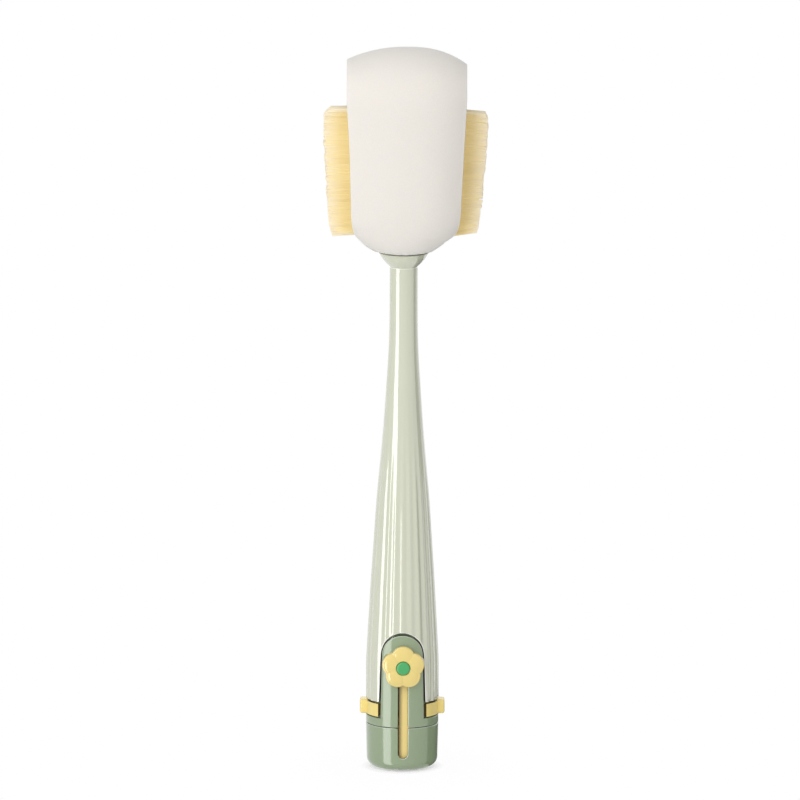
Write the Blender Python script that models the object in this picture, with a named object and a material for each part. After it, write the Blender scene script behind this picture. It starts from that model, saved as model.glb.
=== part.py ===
"""Bottle brush with a folded foam head, two bristle blocks and a pull-out base.

The brush stands on its base cup. Up is +Z and the flower button faces -Y.
Lengths are in metres. The handle and the head stay still. The base assembly
is drawn down out of the handle, and the brush slider runs down its slot.
"""

import math
import random

import bmesh
import bpy
import numpy as np

# Clearances and cutting
GAP = 0.0003
SLIDE_GAP = 0.0003
NOTCH_GAP = 0.0005
OVERRUN = 0.002
MERGE = 0.000001
SMOOTH_ANGLE = math.radians(32)
FRONT = -math.pi / 2

# Base cup
CUP_HEIGHT = 0.0209
CUP_TOP_RADIUS = 0.0169
CUP_FOOT_RADIUS = 0.0165
CUP_FILLET = 0.0047
CUP_WALL = 0.0015
CUP_FLOOR = 0.0020
CUP_STEPS = 40

# Grip ring with its two finger ears
RING_HEIGHT = 0.0068
RING_WALL = 0.0020
RING_PROUD = 0.0001
EAR_REACH = 0.0026
EAR_HALF_DEPTH = 0.0040
EAR_BEVEL = 0.0009

# Slide housing
SHOULDER_HEIGHT = 0.0038
SKIRT_HEIGHT = 0.0070
SPIGOT_HEAD = 0.00825
SPIGOT_WALL = 0.0014
PLATE_THICKNESS = 0.0042
BOSS_RADIUS = 0.0034
BOSS_HEIGHT = 0.0045
TONGUE_HALF_WIDTH = 0.00965
TONGUE_FOOT_HALF_WIDTH = 0.0102
TONGUE_SPRING_RISE = 0.0049
CHANNEL_WALL = 0.0013
CHANNEL_ROOM = 0.0010
SLOT_HALF_WIDTH = 0.0023
SLOT_END = 0.0071
HOUSING_STEPS = 40
ARCH_STEPS = 14

# Spigot seal
SEAL_HEIGHT = 0.0011
SEAL_GROOVE_DEPTH = 0.0016
SEAL_STEPS = 32

# Handle shell
HANDLE_LENGTH = 0.2036
GRIP_RADIUS = 0.0169
NECK_RADIUS = 0.0065
HANDLE_WALL = 0.0019
SEPTUM = 0.0030
SOCKET_DEPTH = 0.0168
FLUTE_COUNT = 24
FLUTE_DEPTH = 0.00045
POINTS_PER_FLUTE = 3
TAPER_HEIGHT_SHARES = (0, 0.077, 0.136, 0.214, 0.283, 0.357, 0.46, 0.578, 0.666, 0.725, 0.774, 0.848, 1)
TAPER_FLARE_SHARES = (1, 1, 0.952, 0.865, 0.788, 0.692, 0.558, 0.356, 0.221, 0.144, 0.082, 0.019, 0)
BORE_HEIGHT_SHARES = (0, 0.283, 0.46, 0.666, 0.774)
FLUTE_FADE_SHARES = (0.46, 0.70)

# Head collar
COLLAR_HEIGHT = 0.0069
COLLAR_RIM_RADIUS = 0.0130
COLLAR_WALL = 0.0018
COLLAR_FLOOR = 0.0031
COLLAR_RISE_SHARES = (0, 0.2, 0.45, 0.72, 1)
COLLAR_FLARE_SHARES = (0, 0.26, 0.53, 0.78, 1)
COLLAR_STEPS = 28

# Head core
STEM_RADIUS = 0.0039
FLANGE_RADIUS = 0.0070
FLANGE_HEIGHT = 0.0016
CORE_NECK_HALF_WIDTH = 0.0058
CORE_NECK_HEIGHT = 0.0072
CORE_HALF_WIDTH = 0.0127
CORE_HALF_DEPTH = 0.0042
CORE_LENGTH = 0.0802
CORE_CORNER = 0.0080
CORE_WEB = 0.0026
CORE_RIB = 0.0018
POCKET_ROWS = 5
CORE_STEPS = 24

# Side bristle blocks
BLOCK_LIFT = 0.0082
BLOCK_LENGTH = 0.0621
BLOCK_BACKING = 0.0025
BLOCK_REACH = 0.0382
BLOCK_ROWS = 46
BLOCK_COLUMNS = 6
BLOCK_HEIGHT_SHARES = (0, 0.2, 0.5, 0.8, 0.96, 1)
BLOCK_REACH_SHARES = (0.885, 0.925, 0.96, 0.995, 1, 0.97)
BLOCK_RAGGED = 0.0006
BRISTLE_TIP_SHARE = 0.7

# Foam pad
FOAM_HALF_WIDTH = 0.0278
FOAM_DEPTH = 0.0240
FOAM_SIDE_DROP = 0.0070
FOAM_CROWN_POWER = 2.5
FOAM_STRAIGHT = 0.0744
FOAM_TUCK = 0.0019
FOAM_TUCK_SHARE = 0.76
FOAM_HEIGHT_SHARES = (0.030, 0.062, 0.12, 0.2, 0.32, 0.48, 0.66, 0.84, 1)
FOAM_WIDTH_SHARES = (0.45, 0.65, 0.81, 0.87, 0.905, 0.94, 0.965, 0.99, 1)
FOAM_DEPTH_SHARES = (0.46, 0.62, 0.80, 0.92, 0.97, 1, 1, 1, 1)
FOAM_ACROSS = 8
FOAM_BEND_STEPS = 6

# Straw brush
WIRE_HALF_WIDTH = 0.0009
WIRE_HALF_THICKNESS = 0.0005
WIRE_TOP_ROOM = 0.0179
WIRE_PITCH = 0.0120
WIRE_STEPS_PER_TURN = 6
STRAW_RADIUS = 0.0038
STRAW_FOOT_ROOM = 0.0268
STRAW_SLEEVE_WALL = 0.0005
STRAW_TOP_ROOM = 0.0040
STRAW_ROWS = 24
STRAW_COLUMNS = 8
STRAW_TIP_SHARE = 0.35

# Brush slider
CARRIER_HALF_WIDTH = 0.0064
CARRIER_THICKNESS = 0.0018
CARRIER_BOTTOM = 0.0052
CARRIER_HEAD = 0.0026
SPINE_HALF_WIDTH = 0.0032
SPINE_THICKNESS = 0.0016
SPINE_RECESS = 0.0023
SLIDER_STEM_HALF_WIDTH = 0.0020
SLIDER_STEM_STRAIGHT = 0.0012
GAP_PLATE_HALF_WIDTH = 0.0060
GAP_PLATE_THICKNESS = 0.0012
GAP_BRUSH_LENGTH = 0.0200
GAP_BRUSH_REACH = 0.0085
GAP_ROWS = 14
GAP_COLUMNS = 8
MOUTH_HALF_WIDTH = 0.0068

# Flower button
FLOWER_HEIGHT = 0.0502
FLOWER_THICKNESS = 0.0038
PETAL_COUNT = 5
PETAL_RADIUS = 0.0055
PETAL_OFFSET = 0.0045
PETAL_STEPS = 8
PETAL_BEVEL = 0.0008
CENTRE_RADIUS = 0.0034
CENTRE_THICKNESS = 0.0011
CENTRE_DOME = 0.0006
HEAD_POCKET_DEPTH = 0.0011
SCREW_HEAD_RADIUS = 0.0020
SCREW_SHAFT_RADIUS = 0.0009
SCREW_LENGTH = 0.0042
FLOWER_WEB = 0.0007
SMALL_STEPS = 20

# Heights that stack from the base up
SHOULDER_BOTTOM = CUP_HEIGHT + GAP
SHOULDER_TOP = SHOULDER_BOTTOM + SHOULDER_HEIGHT
RING_BOTTOM = SHOULDER_TOP + GAP
RING_TOP = RING_BOTTOM + RING_HEIGHT
HANDLE_BOTTOM = RING_TOP + GAP
NECK_TOP = HANDLE_BOTTOM + HANDLE_LENGTH
SOCKET_FLOOR = NECK_TOP - SOCKET_DEPTH
BORE_TOP = SOCKET_FLOOR - SEPTUM
COLLAR_BOTTOM = NECK_TOP + GAP
FLANGE_BOTTOM = COLLAR_BOTTOM + COLLAR_FLOOR + GAP
FLANGE_TOP = FLANGE_BOTTOM + FLANGE_HEIGHT
FOAM_BOTTOM = FLANGE_TOP + GAP
FOAM_BEND = FOAM_BOTTOM + FOAM_STRAIGHT
CORE_TOP = FLANGE_TOP + CORE_LENGTH
BLOCK_BOTTOM = FOAM_BOTTOM + BLOCK_LIFT
TONGUE_SPRING = FLOWER_HEIGHT + TONGUE_SPRING_RISE
SPIGOT_TOP = TONGUE_SPRING + TONGUE_HALF_WIDTH + SPIGOT_HEAD
POCKET_TOP = SPIGOT_TOP - PLATE_THICKNESS
GROOVE_BOTTOM = POCKET_TOP + SPIGOT_WALL
GROOVE_TOP = GROOVE_BOTTOM + SEAL_HEIGHT + 2 * GAP
SKIRT_BOTTOM = SHOULDER_BOTTOM - SKIRT_HEIGHT
WIRE_FOOT = SPIGOT_TOP + GAP
WIRE_LENGTH = BORE_TOP - WIRE_TOP_ROOM - WIRE_FOOT
STRAW_FOOT = SPIGOT_TOP + BOSS_HEIGHT + STRAW_FOOT_ROOM
STRAW_LENGTH = WIRE_FOOT + WIRE_LENGTH - STRAW_TOP_ROOM - STRAW_FOOT

# Radii that follow from the fits
CUP_BORE = CUP_TOP_RADIUS - CUP_WALL
SKIRT_RADIUS = CUP_BORE - GAP
RING_INNER = GRIP_RADIUS - HANDLE_WALL
RING_OUTER = RING_INNER + RING_WALL + RING_PROUD
SPIGOT_RADIUS = RING_INNER - GAP
SOCKET_RADIUS = STEM_RADIUS + GAP
SLOT_FACE = CORE_HALF_DEPTH + GAP
BUTTON_BACK = GRIP_RADIUS + GAP

# Places of the slider, measured forward from the axis
SPINE_FRONT = GRIP_RADIUS - SPINE_RECESS
SLAB_FRONT = SPINE_FRONT - SPINE_THICKNESS
SLAB_BACK = SLAB_FRONT - CARRIER_THICKNESS
GAP_PLATE_FRONT = SLAB_BACK - GAP
GAP_TIPS = GAP_PLATE_FRONT - GAP_BRUSH_REACH
CHANNEL_BACK = GAP_TIPS - CHANNEL_ROOM
STEM_HALF_HEIGHT = SLIDER_STEM_STRAIGHT + SLIDER_STEM_HALF_WIDTH
CARRIER_TOP = FLOWER_HEIGHT + STEM_HALF_HEIGHT + CARRIER_HEAD
CHANNEL_TOP = CARRIER_TOP + SLIDE_GAP
SLOT_TOP = FLOWER_HEIGHT + STEM_HALF_HEIGHT + SLIDE_GAP
SLIDE_TRAVEL = FLOWER_HEIGHT - STEM_HALF_HEIGHT - SLIDE_GAP - SLOT_END
BUTTON_FRONT = BUTTON_BACK + FLOWER_THICKNESS
CAP_SEAT = BUTTON_FRONT - CENTRE_THICKNESS - GAP
SCREW_SEAT = CAP_SEAT - HEAD_POCKET_DEPTH
STEM_FRONT = SCREW_SEAT - FLOWER_WEB - GAP
SCREW_HOLE = SCREW_SHAFT_RADIUS + GAP
BASE_TRAVEL = WIRE_FOOT + WIRE_LENGTH - HANDLE_BOTTOM


def clear_scene():
    """Remove every object of the scene."""
    for old in list(bpy.data.objects):
        bpy.data.objects.remove(old, do_unlink=True)


def material(name, colour, roughness, metallic=0.0):
    """A Principled material of one colour."""
    made = bpy.data.materials.new(name)
    made.use_nodes = True
    shader = made.node_tree.nodes["Principled BSDF"]
    shader.inputs["Base Color"].default_value = (*colour, 1)
    shader.inputs["Roughness"].default_value = roughness
    shader.inputs["Metallic"].default_value = metallic
    made.diffuse_color = (*colour, 1)
    return made


def place(name, mesh, finish, at=(0, 0, 0), turn=(0, 0, 0), carrier=None):
    """Put a mesh into the scene as one named piece, its place given in the world."""
    mesh.name = name
    piece = bpy.data.objects.new(name, mesh)
    bpy.context.collection.objects.link(piece)
    if finish:
        mesh.materials.append(finish)
    if carrier:
        piece.parent = carrier
        at = tuple(np.subtract(at, carrier.location))
    piece.location = at
    piece.rotation_euler = turn
    return piece


def axis_empty(name, at, carrier=None):
    """An empty on a joint's axis."""
    empty = bpy.data.objects.new(name, None)
    bpy.context.collection.objects.link(empty)
    if carrier:
        empty.parent = carrier
        empty.location = tuple(np.subtract(at, carrier.location))
    else:
        empty.location = at
    return empty


def finish_mesh(bm):
    """Turn a bmesh into a mesh with outward faces and smooth round sides."""
    bmesh.ops.remove_doubles(bm, verts=bm.verts, dist=MERGE)
    bmesh.ops.recalc_face_normals(bm, faces=bm.faces)
    mesh = bpy.data.meshes.new("shape")
    bm.to_mesh(mesh)
    bm.free()
    mesh.shade_smooth()
    mesh.set_sharp_from_angle(angle=SMOOTH_ANGLE)
    return mesh


def turned(outline, steps, ring=False):
    """Spin an outline of (radius, height) points once round Z."""
    bm = bmesh.new()
    verts = [bm.verts.new((radius, 0, height)) for radius, height in outline]
    pairs = list(zip(verts, verts[1:]))
    if ring:
        pairs.append((verts[-1], verts[0]))
    edges = [bm.edges.new(pair) for pair in pairs]
    bmesh.ops.spin(
        bm, geom=verts + edges, cent=(0, 0, 0), axis=(0, 0, 1),
        angle=math.tau, steps=steps, use_merge=True,
    )
    return finish_mesh(bm)


def extruded(outline, start, end, axis):
    """Extrude a flat outline: along Z it holds (x, y) points, along Y (x, z) points."""
    bm = bmesh.new()
    if axis == "Z":
        corners = [bm.verts.new((a, b, start)) for a, b in outline]
        move = (0, 0, end - start)
    else:
        corners = [bm.verts.new((a, start, b)) for a, b in outline]
        move = (0, end - start, 0)
    face = bm.faces.new(corners)
    sides = bmesh.ops.extrude_face_region(bm, geom=[face])
    moved = [part for part in sides["geom"] if isinstance(part, bmesh.types.BMVert)]
    bmesh.ops.translate(bm, verts=moved, vec=move)
    return finish_mesh(bm)


def lofted(rings, twisted=False):
    """Bridge rings of equal count in order, and close both ends.

    A twisted bar's sides are split along their short diagonals, which keeps it full.
    """
    bm = bmesh.new()
    loops = [[bm.verts.new(point) for point in ring] for ring in rings]
    for low, high in zip(loops, loops[1:]):
        for here in range(len(low)):
            after = (here + 1) % len(low)
            if twisted:
                bm.faces.new((low[here], low[after], high[here]))
                bm.faces.new((low[after], high[after], high[here]))
            else:
                bm.faces.new((low[here], low[after], high[after], high[here]))
    bm.faces.new(loops[0])
    bm.faces.new(loops[-1])
    return finish_mesh(bm)


def boolean(piece, operation, tool):
    """Add a Boolean with a hidden tool object to a piece."""
    cut = piece.modifiers.new(operation.lower(), "BOOLEAN")
    cut.operation = operation
    cut.solver = "EXACT"
    cut.object = tool


def tool_object(name, mesh, at=(0, 0, 0), turn=(0, 0, 0), carrier=None):
    """A cutter or a shape to be joined, which is no piece of its own."""
    tool = place(name, mesh, None, at, turn, carrier)
    tool.hide_render = True
    tool.display_type = "WIRE"
    return tool


def arc(centre, radius, start, end, steps):
    """Points on an arc in the plane, both ends included."""
    angles = np.linspace(start, end, steps + 1)
    return [(centre[0] + radius * math.cos(a), centre[1] + radius * math.sin(a)) for a in angles]


def rectangle(half_width, low, high):
    """A rectangle that is centred across and runs from low to high."""
    return [(-half_width, low), (half_width, low), (half_width, high), (-half_width, high)]


def upright_slot(half_width, low, high):
    """A slot outline with a round end at the bottom and at the top."""
    lower = arc((0, low + half_width), half_width, math.pi, math.tau, SMALL_STEPS // 2)
    upper = arc((0, high - half_width), half_width, 0, math.pi, SMALL_STEPS // 2)
    return lower + upper


def handle_radius(height):
    """Outer radius of the handle between its flutes."""
    share = (height - HANDLE_BOTTOM) / HANDLE_LENGTH
    flare = np.interp(share, TAPER_HEIGHT_SHARES, TAPER_FLARE_SHARES)
    return float(NECK_RADIUS + (GRIP_RADIUS - NECK_RADIUS) * flare)


def handle_bore(height):
    """Inner radius of the handle, straight between the bore's own heights."""
    heights = [HANDLE_BOTTOM + share * HANDLE_LENGTH for share in BORE_HEIGHT_SHARES] + [BORE_TOP]
    return float(np.interp(height, heights, [handle_radius(at) - HANDLE_WALL for at in heights]))


def ring_of_points(radius, height, flute=0.0):
    """A ring round Z, drawn in by the flute depth between its ridges."""
    count = FLUTE_COUNT * POINTS_PER_FLUTE
    points = []
    for step in range(count):
        dip = flute * math.sin(math.pi * (step % POINTS_PER_FLUTE) / POINTS_PER_FLUTE)
        turn = FRONT + math.tau * step / count
        points.append(((radius - dip) * math.cos(turn), (radius - dip) * math.sin(turn), height))
    return points


def arch_outline(offset, foot):
    """The arched front tongue seen from the front, grown by offset, open down to foot."""
    half = TONGUE_HALF_WIDTH + offset
    foot_half = TONGUE_FOOT_HALF_WIDTH + offset
    arch = arc((0, TONGUE_SPRING), half, 0, math.pi, ARCH_STEPS)
    return [(foot_half, foot)] + arch + [(-foot_half, foot)]


def make_handle_shell(finish):
    """Fluted tube that narrows to the neck, with the head's socket and the arched notch."""
    rings = [ring_of_points(handle_bore(BORE_TOP), BORE_TOP)]
    for share in reversed(BORE_HEIGHT_SHARES):
        height = HANDLE_BOTTOM + share * HANDLE_LENGTH
        rings.append(ring_of_points(handle_bore(height), height))
    for share in TAPER_HEIGHT_SHARES:
        height = HANDLE_BOTTOM + share * HANDLE_LENGTH
        flute = FLUTE_DEPTH * float(np.interp(share, FLUTE_FADE_SHARES, (1, 0)))
        rings.append(ring_of_points(handle_radius(height), height, flute))
    rings.append(ring_of_points(SOCKET_RADIUS, NECK_TOP))
    rings.append(ring_of_points(SOCKET_RADIUS, SOCKET_FLOOR))
    shell = place("handle_shell", lofted(rings), finish)
    notch = extruded(
        arch_outline(NOTCH_GAP, HANDLE_BOTTOM - OVERRUN),
        -GRIP_RADIUS - OVERRUN, -RING_INNER / 2, "Y",
    )
    boolean(shell, "DIFFERENCE", tool_object("notch_cutter", notch))
    return shell


def collar_radius(rise):
    """Outer radius of the collar at a height above its bottom."""
    flare = np.interp(rise / COLLAR_HEIGHT, COLLAR_RISE_SHARES, COLLAR_FLARE_SHARES)
    return float(NECK_RADIUS + (COLLAR_RIM_RADIUS - NECK_RADIUS) * flare)


def make_head_collar(finish):
    """Flared bowl that holds the foam's ends round the core's stem."""
    outside = [
        (collar_radius(share * COLLAR_HEIGHT), COLLAR_BOTTOM + share * COLLAR_HEIGHT)
        for share in COLLAR_RISE_SHARES
    ]
    inside = [
        (collar_radius(rise) - COLLAR_WALL, COLLAR_BOTTOM + rise)
        for rise in np.linspace(COLLAR_HEIGHT, COLLAR_FLOOR, len(COLLAR_RISE_SHARES) - 1)
    ]
    hole = [(SOCKET_RADIUS, COLLAR_BOTTOM + COLLAR_FLOOR), (SOCKET_RADIUS, COLLAR_BOTTOM)]
    mesh = turned(outside + inside + hole, COLLAR_STEPS, ring=True)
    return place("head_collar", mesh, finish)


def core_outline():
    """The paddle seen from the front: narrow at the flange, round at its top corners."""
    wide = FLANGE_TOP + CORE_NECK_HEIGHT
    corner = (CORE_HALF_WIDTH - CORE_CORNER, CORE_TOP - CORE_CORNER)
    right = arc(corner, CORE_CORNER, 0, math.pi / 2, ARCH_STEPS // 2)
    left = [(-x, z) for x, z in reversed(right)]
    foot = FLANGE_TOP - FLANGE_HEIGHT / 2
    lower_right = [(CORE_NECK_HALF_WIDTH, foot), (CORE_NECK_HALF_WIDTH, FLANGE_TOP), (CORE_HALF_WIDTH, wide)]
    lower_left = [(-x, z) for x, z in reversed(lower_right)]
    return lower_right + right + left + lower_left


def make_head_core(finish):
    """Ribbed paddle inside the foam, with the flange and the stem that plugs into the neck."""
    core = place("head_core", extruded(core_outline(), -CORE_HALF_DEPTH, CORE_HALF_DEPTH, "Y"), finish)
    pocket_low = FLANGE_TOP + CORE_NECK_HEIGHT + CORE_RIB
    pocket_pitch = (CORE_TOP - CORE_CORNER - pocket_low) / POCKET_ROWS
    pocket_half_width = (CORE_HALF_WIDTH - CORE_RIB - CORE_RIB / 2) / 2
    for row in range(POCKET_ROWS):
        low = pocket_low + row * pocket_pitch
        for side in (-1, 1):
            shift = side * (CORE_RIB / 2 + pocket_half_width)
            outline = [(x + shift, z) for x, z in rectangle(pocket_half_width, low, low + pocket_pitch - CORE_RIB)]
            for face in (-1, 1):
                mesh = extruded(outline, face * CORE_WEB / 2, face * (CORE_HALF_DEPTH + OVERRUN), "Y")
                boolean(core, "DIFFERENCE", tool_object("pocket_cutter", mesh))
    stem = [
        (0, SOCKET_FLOOR + GAP), (STEM_RADIUS, SOCKET_FLOOR + GAP), (STEM_RADIUS, FLANGE_BOTTOM),
        (FLANGE_RADIUS, FLANGE_BOTTOM), (FLANGE_RADIUS, FLANGE_TOP), (0, FLANGE_TOP),
    ]
    boolean(core, "UNION", tool_object("stem_shape", turned(stem, CORE_STEPS)))
    return core


def bristled_slab(columns, rows, half_width, length, thickness, reach, tip_share):
    """A slab on the plane Y = 0, with a tapered bristle on every second cell of its outer face.

    The outer face is a grid of columns across X and rows along Z. reach(column, row)
    gives the place of a bristle's tip along Y. Neighbours touch only at their roots.
    """
    bm = bmesh.new()
    across = np.linspace(-half_width, half_width, columns + 1)
    along = np.linspace(0, length, rows + 1)
    grid = [[bm.verts.new((x, thickness, z)) for x in across] for z in along]
    back = [[bm.verts.new((x, 0, z)) for x in (-half_width, half_width)] for z in (0, length)]
    bm.faces.new((back[0][0], back[0][1], back[1][1], back[1][0]))
    bm.faces.new((back[0][0], *grid[0], back[0][1]))
    bm.faces.new((back[1][0], *grid[-1], back[1][1]))
    bm.faces.new((back[0][0], *(line[0] for line in grid), back[1][0]))
    bm.faces.new((back[0][1], *(line[-1] for line in grid), back[1][1]))
    for row in range(rows):
        for column in range(columns):
            root = (
                grid[row][column], grid[row][column + 1],
                grid[row + 1][column + 1], grid[row + 1][column],
            )
            if (row + column) % 2:
                bm.faces.new(root)
                continue
            middle = sum(vert.co.x for vert in root) / 4, sum(vert.co.z for vert in root) / 4
            height = reach(column, row)
            tip = []
            for vert in root:
                x = middle[0] + (vert.co.x - middle[0]) * tip_share
                z = middle[1] + (vert.co.z - middle[1]) * tip_share
                tip.append(bm.verts.new((x, height, z)))
            bm.faces.new(tip)
            for here in range(4):
                after = (here + 1) % 4
                bm.faces.new((root[here], root[after], tip[after], tip[here]))
    return finish_mesh(bm)


def make_side_bristles(finish):
    """The two blocks of bristles on the core's edges. The right one is the left one turned round."""
    root = CORE_HALF_WIDTH + GAP
    dice = random.Random(7)

    def tip(column, row):
        share = (row + 1 / 2) / BLOCK_ROWS
        line = BLOCK_REACH * float(np.interp(share, BLOCK_HEIGHT_SHARES, BLOCK_REACH_SHARES))
        return min(line + dice.uniform(-BLOCK_RAGGED, BLOCK_RAGGED), BLOCK_REACH) - root

    slab = (BLOCK_COLUMNS, BLOCK_ROWS, CORE_HALF_DEPTH, BLOCK_LENGTH, BLOCK_BACKING)
    for name, side, turn in (("left_bristles", -1, math.pi / 2), ("right_bristles", 1, -math.pi / 2)):
        mesh = bristled_slab(*slab, tip, BRISTLE_TIP_SHARE)
        place(name, mesh, finish, (side * root, 0, BLOCK_BOTTOM), (0, 0, turn))


def foam_section():
    """Half of the foam's side view from its tucked end to the crest.

    Each entry holds the half width, the outer depth at the middle, the share of the
    bend and the height of the strip's outer and inner face.
    """
    tuck = (collar_radius(FOAM_BOTTOM - COLLAR_BOTTOM) - COLLAR_WALL) * FOAM_TUCK_SHARE
    rim = (COLLAR_RIM_RADIUS - COLLAR_WALL) * FOAM_TUCK_SHARE
    stations = [
        (tuck, tuck, 0, FOAM_BOTTOM),
        (rim, rim, 0, FOAM_BOTTOM + FOAM_TUCK),
    ]
    shares = zip(FOAM_HEIGHT_SHARES, FOAM_WIDTH_SHARES, FOAM_DEPTH_SHARES)
    for height_share, width_share, depth_share in shares:
        height = FOAM_BOTTOM + height_share * FOAM_STRAIGHT
        stations.append((width_share * FOAM_HALF_WIDTH, depth_share * FOAM_DEPTH, 0, height))
    for step in range(1, FOAM_BEND_STEPS + 1):
        stations.append((FOAM_HALF_WIDTH, FOAM_DEPTH, step / FOAM_BEND_STEPS, FOAM_BEND))
    return stations


def make_foam_pad(finish):
    """One foam strip folded over the core, crowned across and open at both sides.

    Across the strip its depth falls by FOAM_SIDE_DROP towards the sides. Round the
    bend the outer face is an arc of that depth, and the inner face one of the slot's.
    """
    half = foam_section()
    stations = [(*entry, -1) for entry in half] + [(*entry, 1) for entry in reversed(half[:-1])]
    bm = bmesh.new()
    outer, inner = [], []
    for half_width, depth, bend, height, side in stations:
        turn = bend * math.pi / 2
        outer_row, inner_row = [], []
        for step in range(FOAM_ACROSS + 1):
            across = 2 * step / FOAM_ACROSS - 1
            crown = abs(across) ** FOAM_CROWN_POWER * FOAM_SIDE_DROP / FOAM_DEPTH
            out = depth * (1 - crown)
            x = across * half_width
            slot_rise = SLOT_FACE * math.sin(turn) + (CORE_TOP - FOAM_BEND) * (bend > 0)
            outer_row.append(bm.verts.new((x, side * out * math.cos(turn), height + out * math.sin(turn))))
            inner_row.append(bm.verts.new((x, side * SLOT_FACE * math.cos(turn), height + slot_rise)))
        outer.append(outer_row)
        inner.append(inner_row)
    for rows in (outer, inner):
        for low, high in zip(rows, rows[1:]):
            for here in range(FOAM_ACROSS):
                bm.faces.new((low[here], low[here + 1], high[here + 1], high[here]))
    for end in (0, -1):
        for here in range(FOAM_ACROSS):
            bm.faces.new((outer[end][here], outer[end][here + 1], inner[end][here + 1], inner[end][here]))
        for here in range(len(stations) - 1):
            bm.faces.new((outer[here][end], outer[here + 1][end], inner[here + 1][end], inner[here][end]))
    return place("foam_pad", finish_mesh(bm), finish)


def spigot_outline():
    """Half of the housing's turned form: skirt, shoulder, spigot, seal groove and wire boss."""
    groove = handle_bore(GROOVE_BOTTOM) - GAP - SEAL_GROOVE_DEPTH
    return [
        (0, SKIRT_BOTTOM), (SKIRT_RADIUS, SKIRT_BOTTOM), (SKIRT_RADIUS, SHOULDER_BOTTOM),
        (CUP_TOP_RADIUS, SHOULDER_BOTTOM), (GRIP_RADIUS, SHOULDER_TOP), (SPIGOT_RADIUS, SHOULDER_TOP),
        (SPIGOT_RADIUS, HANDLE_BOTTOM),
        (handle_bore(GROOVE_BOTTOM) - GAP, GROOVE_BOTTOM), (groove, GROOVE_BOTTOM),
        (groove, GROOVE_TOP), (handle_bore(GROOVE_TOP) - GAP, GROOVE_TOP),
        (handle_bore(SPIGOT_TOP) - GAP, SPIGOT_TOP), (BOSS_RADIUS, SPIGOT_TOP),
        (BOSS_RADIUS, SPIGOT_TOP + BOSS_HEIGHT), (0, SPIGOT_TOP + BOSS_HEIGHT),
    ]


def channel_outline():
    """The carrier's channel in plan: wide for its slab, narrow in front for its spine."""
    wide = CARRIER_HALF_WIDTH + SLIDE_GAP
    narrow = SPINE_HALF_WIDTH + SLIDE_GAP
    return [
        (-wide, -CHANNEL_BACK), (-wide, -SLAB_FRONT - SLIDE_GAP), (-narrow, -SLAB_FRONT - SLIDE_GAP),
        (-narrow, -SPINE_FRONT - SLIDE_GAP), (narrow, -SPINE_FRONT - SLIDE_GAP),
        (narrow, -SLAB_FRONT - SLIDE_GAP), (wide, -SLAB_FRONT - SLIDE_GAP), (wide, -CHANNEL_BACK),
    ]


def hollow_outline():
    """The housing's hollow in plan: round the channel's walls, inside the spigot's wall."""
    radius = handle_bore(POCKET_TOP) - GAP - SPIGOT_WALL
    wall_x = CARRIER_HALF_WIDTH + SLIDE_GAP + CHANNEL_WALL
    wall_y = -CHANNEL_BACK + CHANNEL_WALL
    start = -math.acos(wall_x / radius)
    sweep = arc((0, 0), radius, start, math.pi - start, HOUSING_STEPS // 2)
    return sweep + [(-wall_x, wall_y), (wall_x, wall_y)]


def slot_cutter(name, carrier):
    """The round-ended slot through the front of the housing and the cup."""
    outline = upright_slot(SLOT_HALF_WIDTH, SLOT_END, SLOT_TOP)
    mesh = extruded(outline, -GRIP_RADIUS - OVERRUN, -SLAB_FRONT - SLIDE_GAP, "Y")
    return tool_object(name, mesh, carrier=carrier)


def make_slide_housing(finish, carrier):
    """Spigot with the flush arched tongue, the carrier's channel and the slot."""
    housing = place("slide_housing", turned(spigot_outline(), HOUSING_STEPS), finish, carrier=carrier)
    heights = [HANDLE_BOTTOM + share * HANDLE_LENGTH for share in TAPER_HEIGHT_SHARES]
    face = [(0, SHOULDER_BOTTOM), (GRIP_RADIUS, SHOULDER_BOTTOM)]
    face += [(handle_radius(height), height) for height in heights] + [(0, NECK_TOP)]
    tongue = extruded(
        arch_outline(0, SHOULDER_TOP - SHOULDER_HEIGHT / 2),
        -GRIP_RADIUS - OVERRUN, -CHANNEL_BACK, "Y",
    )
    envelope = tool_object("tongue_face", turned(face, HOUSING_STEPS), carrier=carrier)
    tongue = tool_object("tongue_shape", tongue, carrier=carrier)
    boolean(tongue, "INTERSECT", envelope)
    boolean(housing, "UNION", tongue)
    low = SKIRT_BOTTOM - OVERRUN
    channel = extruded(channel_outline(), low, CHANNEL_TOP, "Z")
    boolean(housing, "DIFFERENCE", tool_object("channel_cutter", channel, carrier=carrier))
    window = rectangle(CARRIER_HALF_WIDTH + SLIDE_GAP + CHANNEL_WALL, -SKIRT_RADIUS - OVERRUN, -SLAB_BACK)
    opening = extruded(window, low, SHOULDER_BOTTOM, "Z")
    boolean(housing, "DIFFERENCE", tool_object("skirt_window_cutter", opening, carrier=carrier))
    hollow = extruded(hollow_outline(), low, POCKET_TOP, "Z")
    boolean(housing, "DIFFERENCE", tool_object("hollow_cutter", hollow, carrier=carrier))
    boolean(housing, "DIFFERENCE", slot_cutter("housing_slot_cutter", carrier))
    hole = WIRE_HALF_WIDTH + GAP
    bore = [
        (0, SPIGOT_TOP), (hole, SPIGOT_TOP),
        (hole, SPIGOT_TOP + BOSS_HEIGHT + OVERRUN), (0, SPIGOT_TOP + BOSS_HEIGHT + OVERRUN),
    ]
    boolean(housing, "DIFFERENCE", tool_object("wire_hole_cutter", turned(bore, SMALL_STEPS), carrier=carrier))
    return housing


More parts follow.
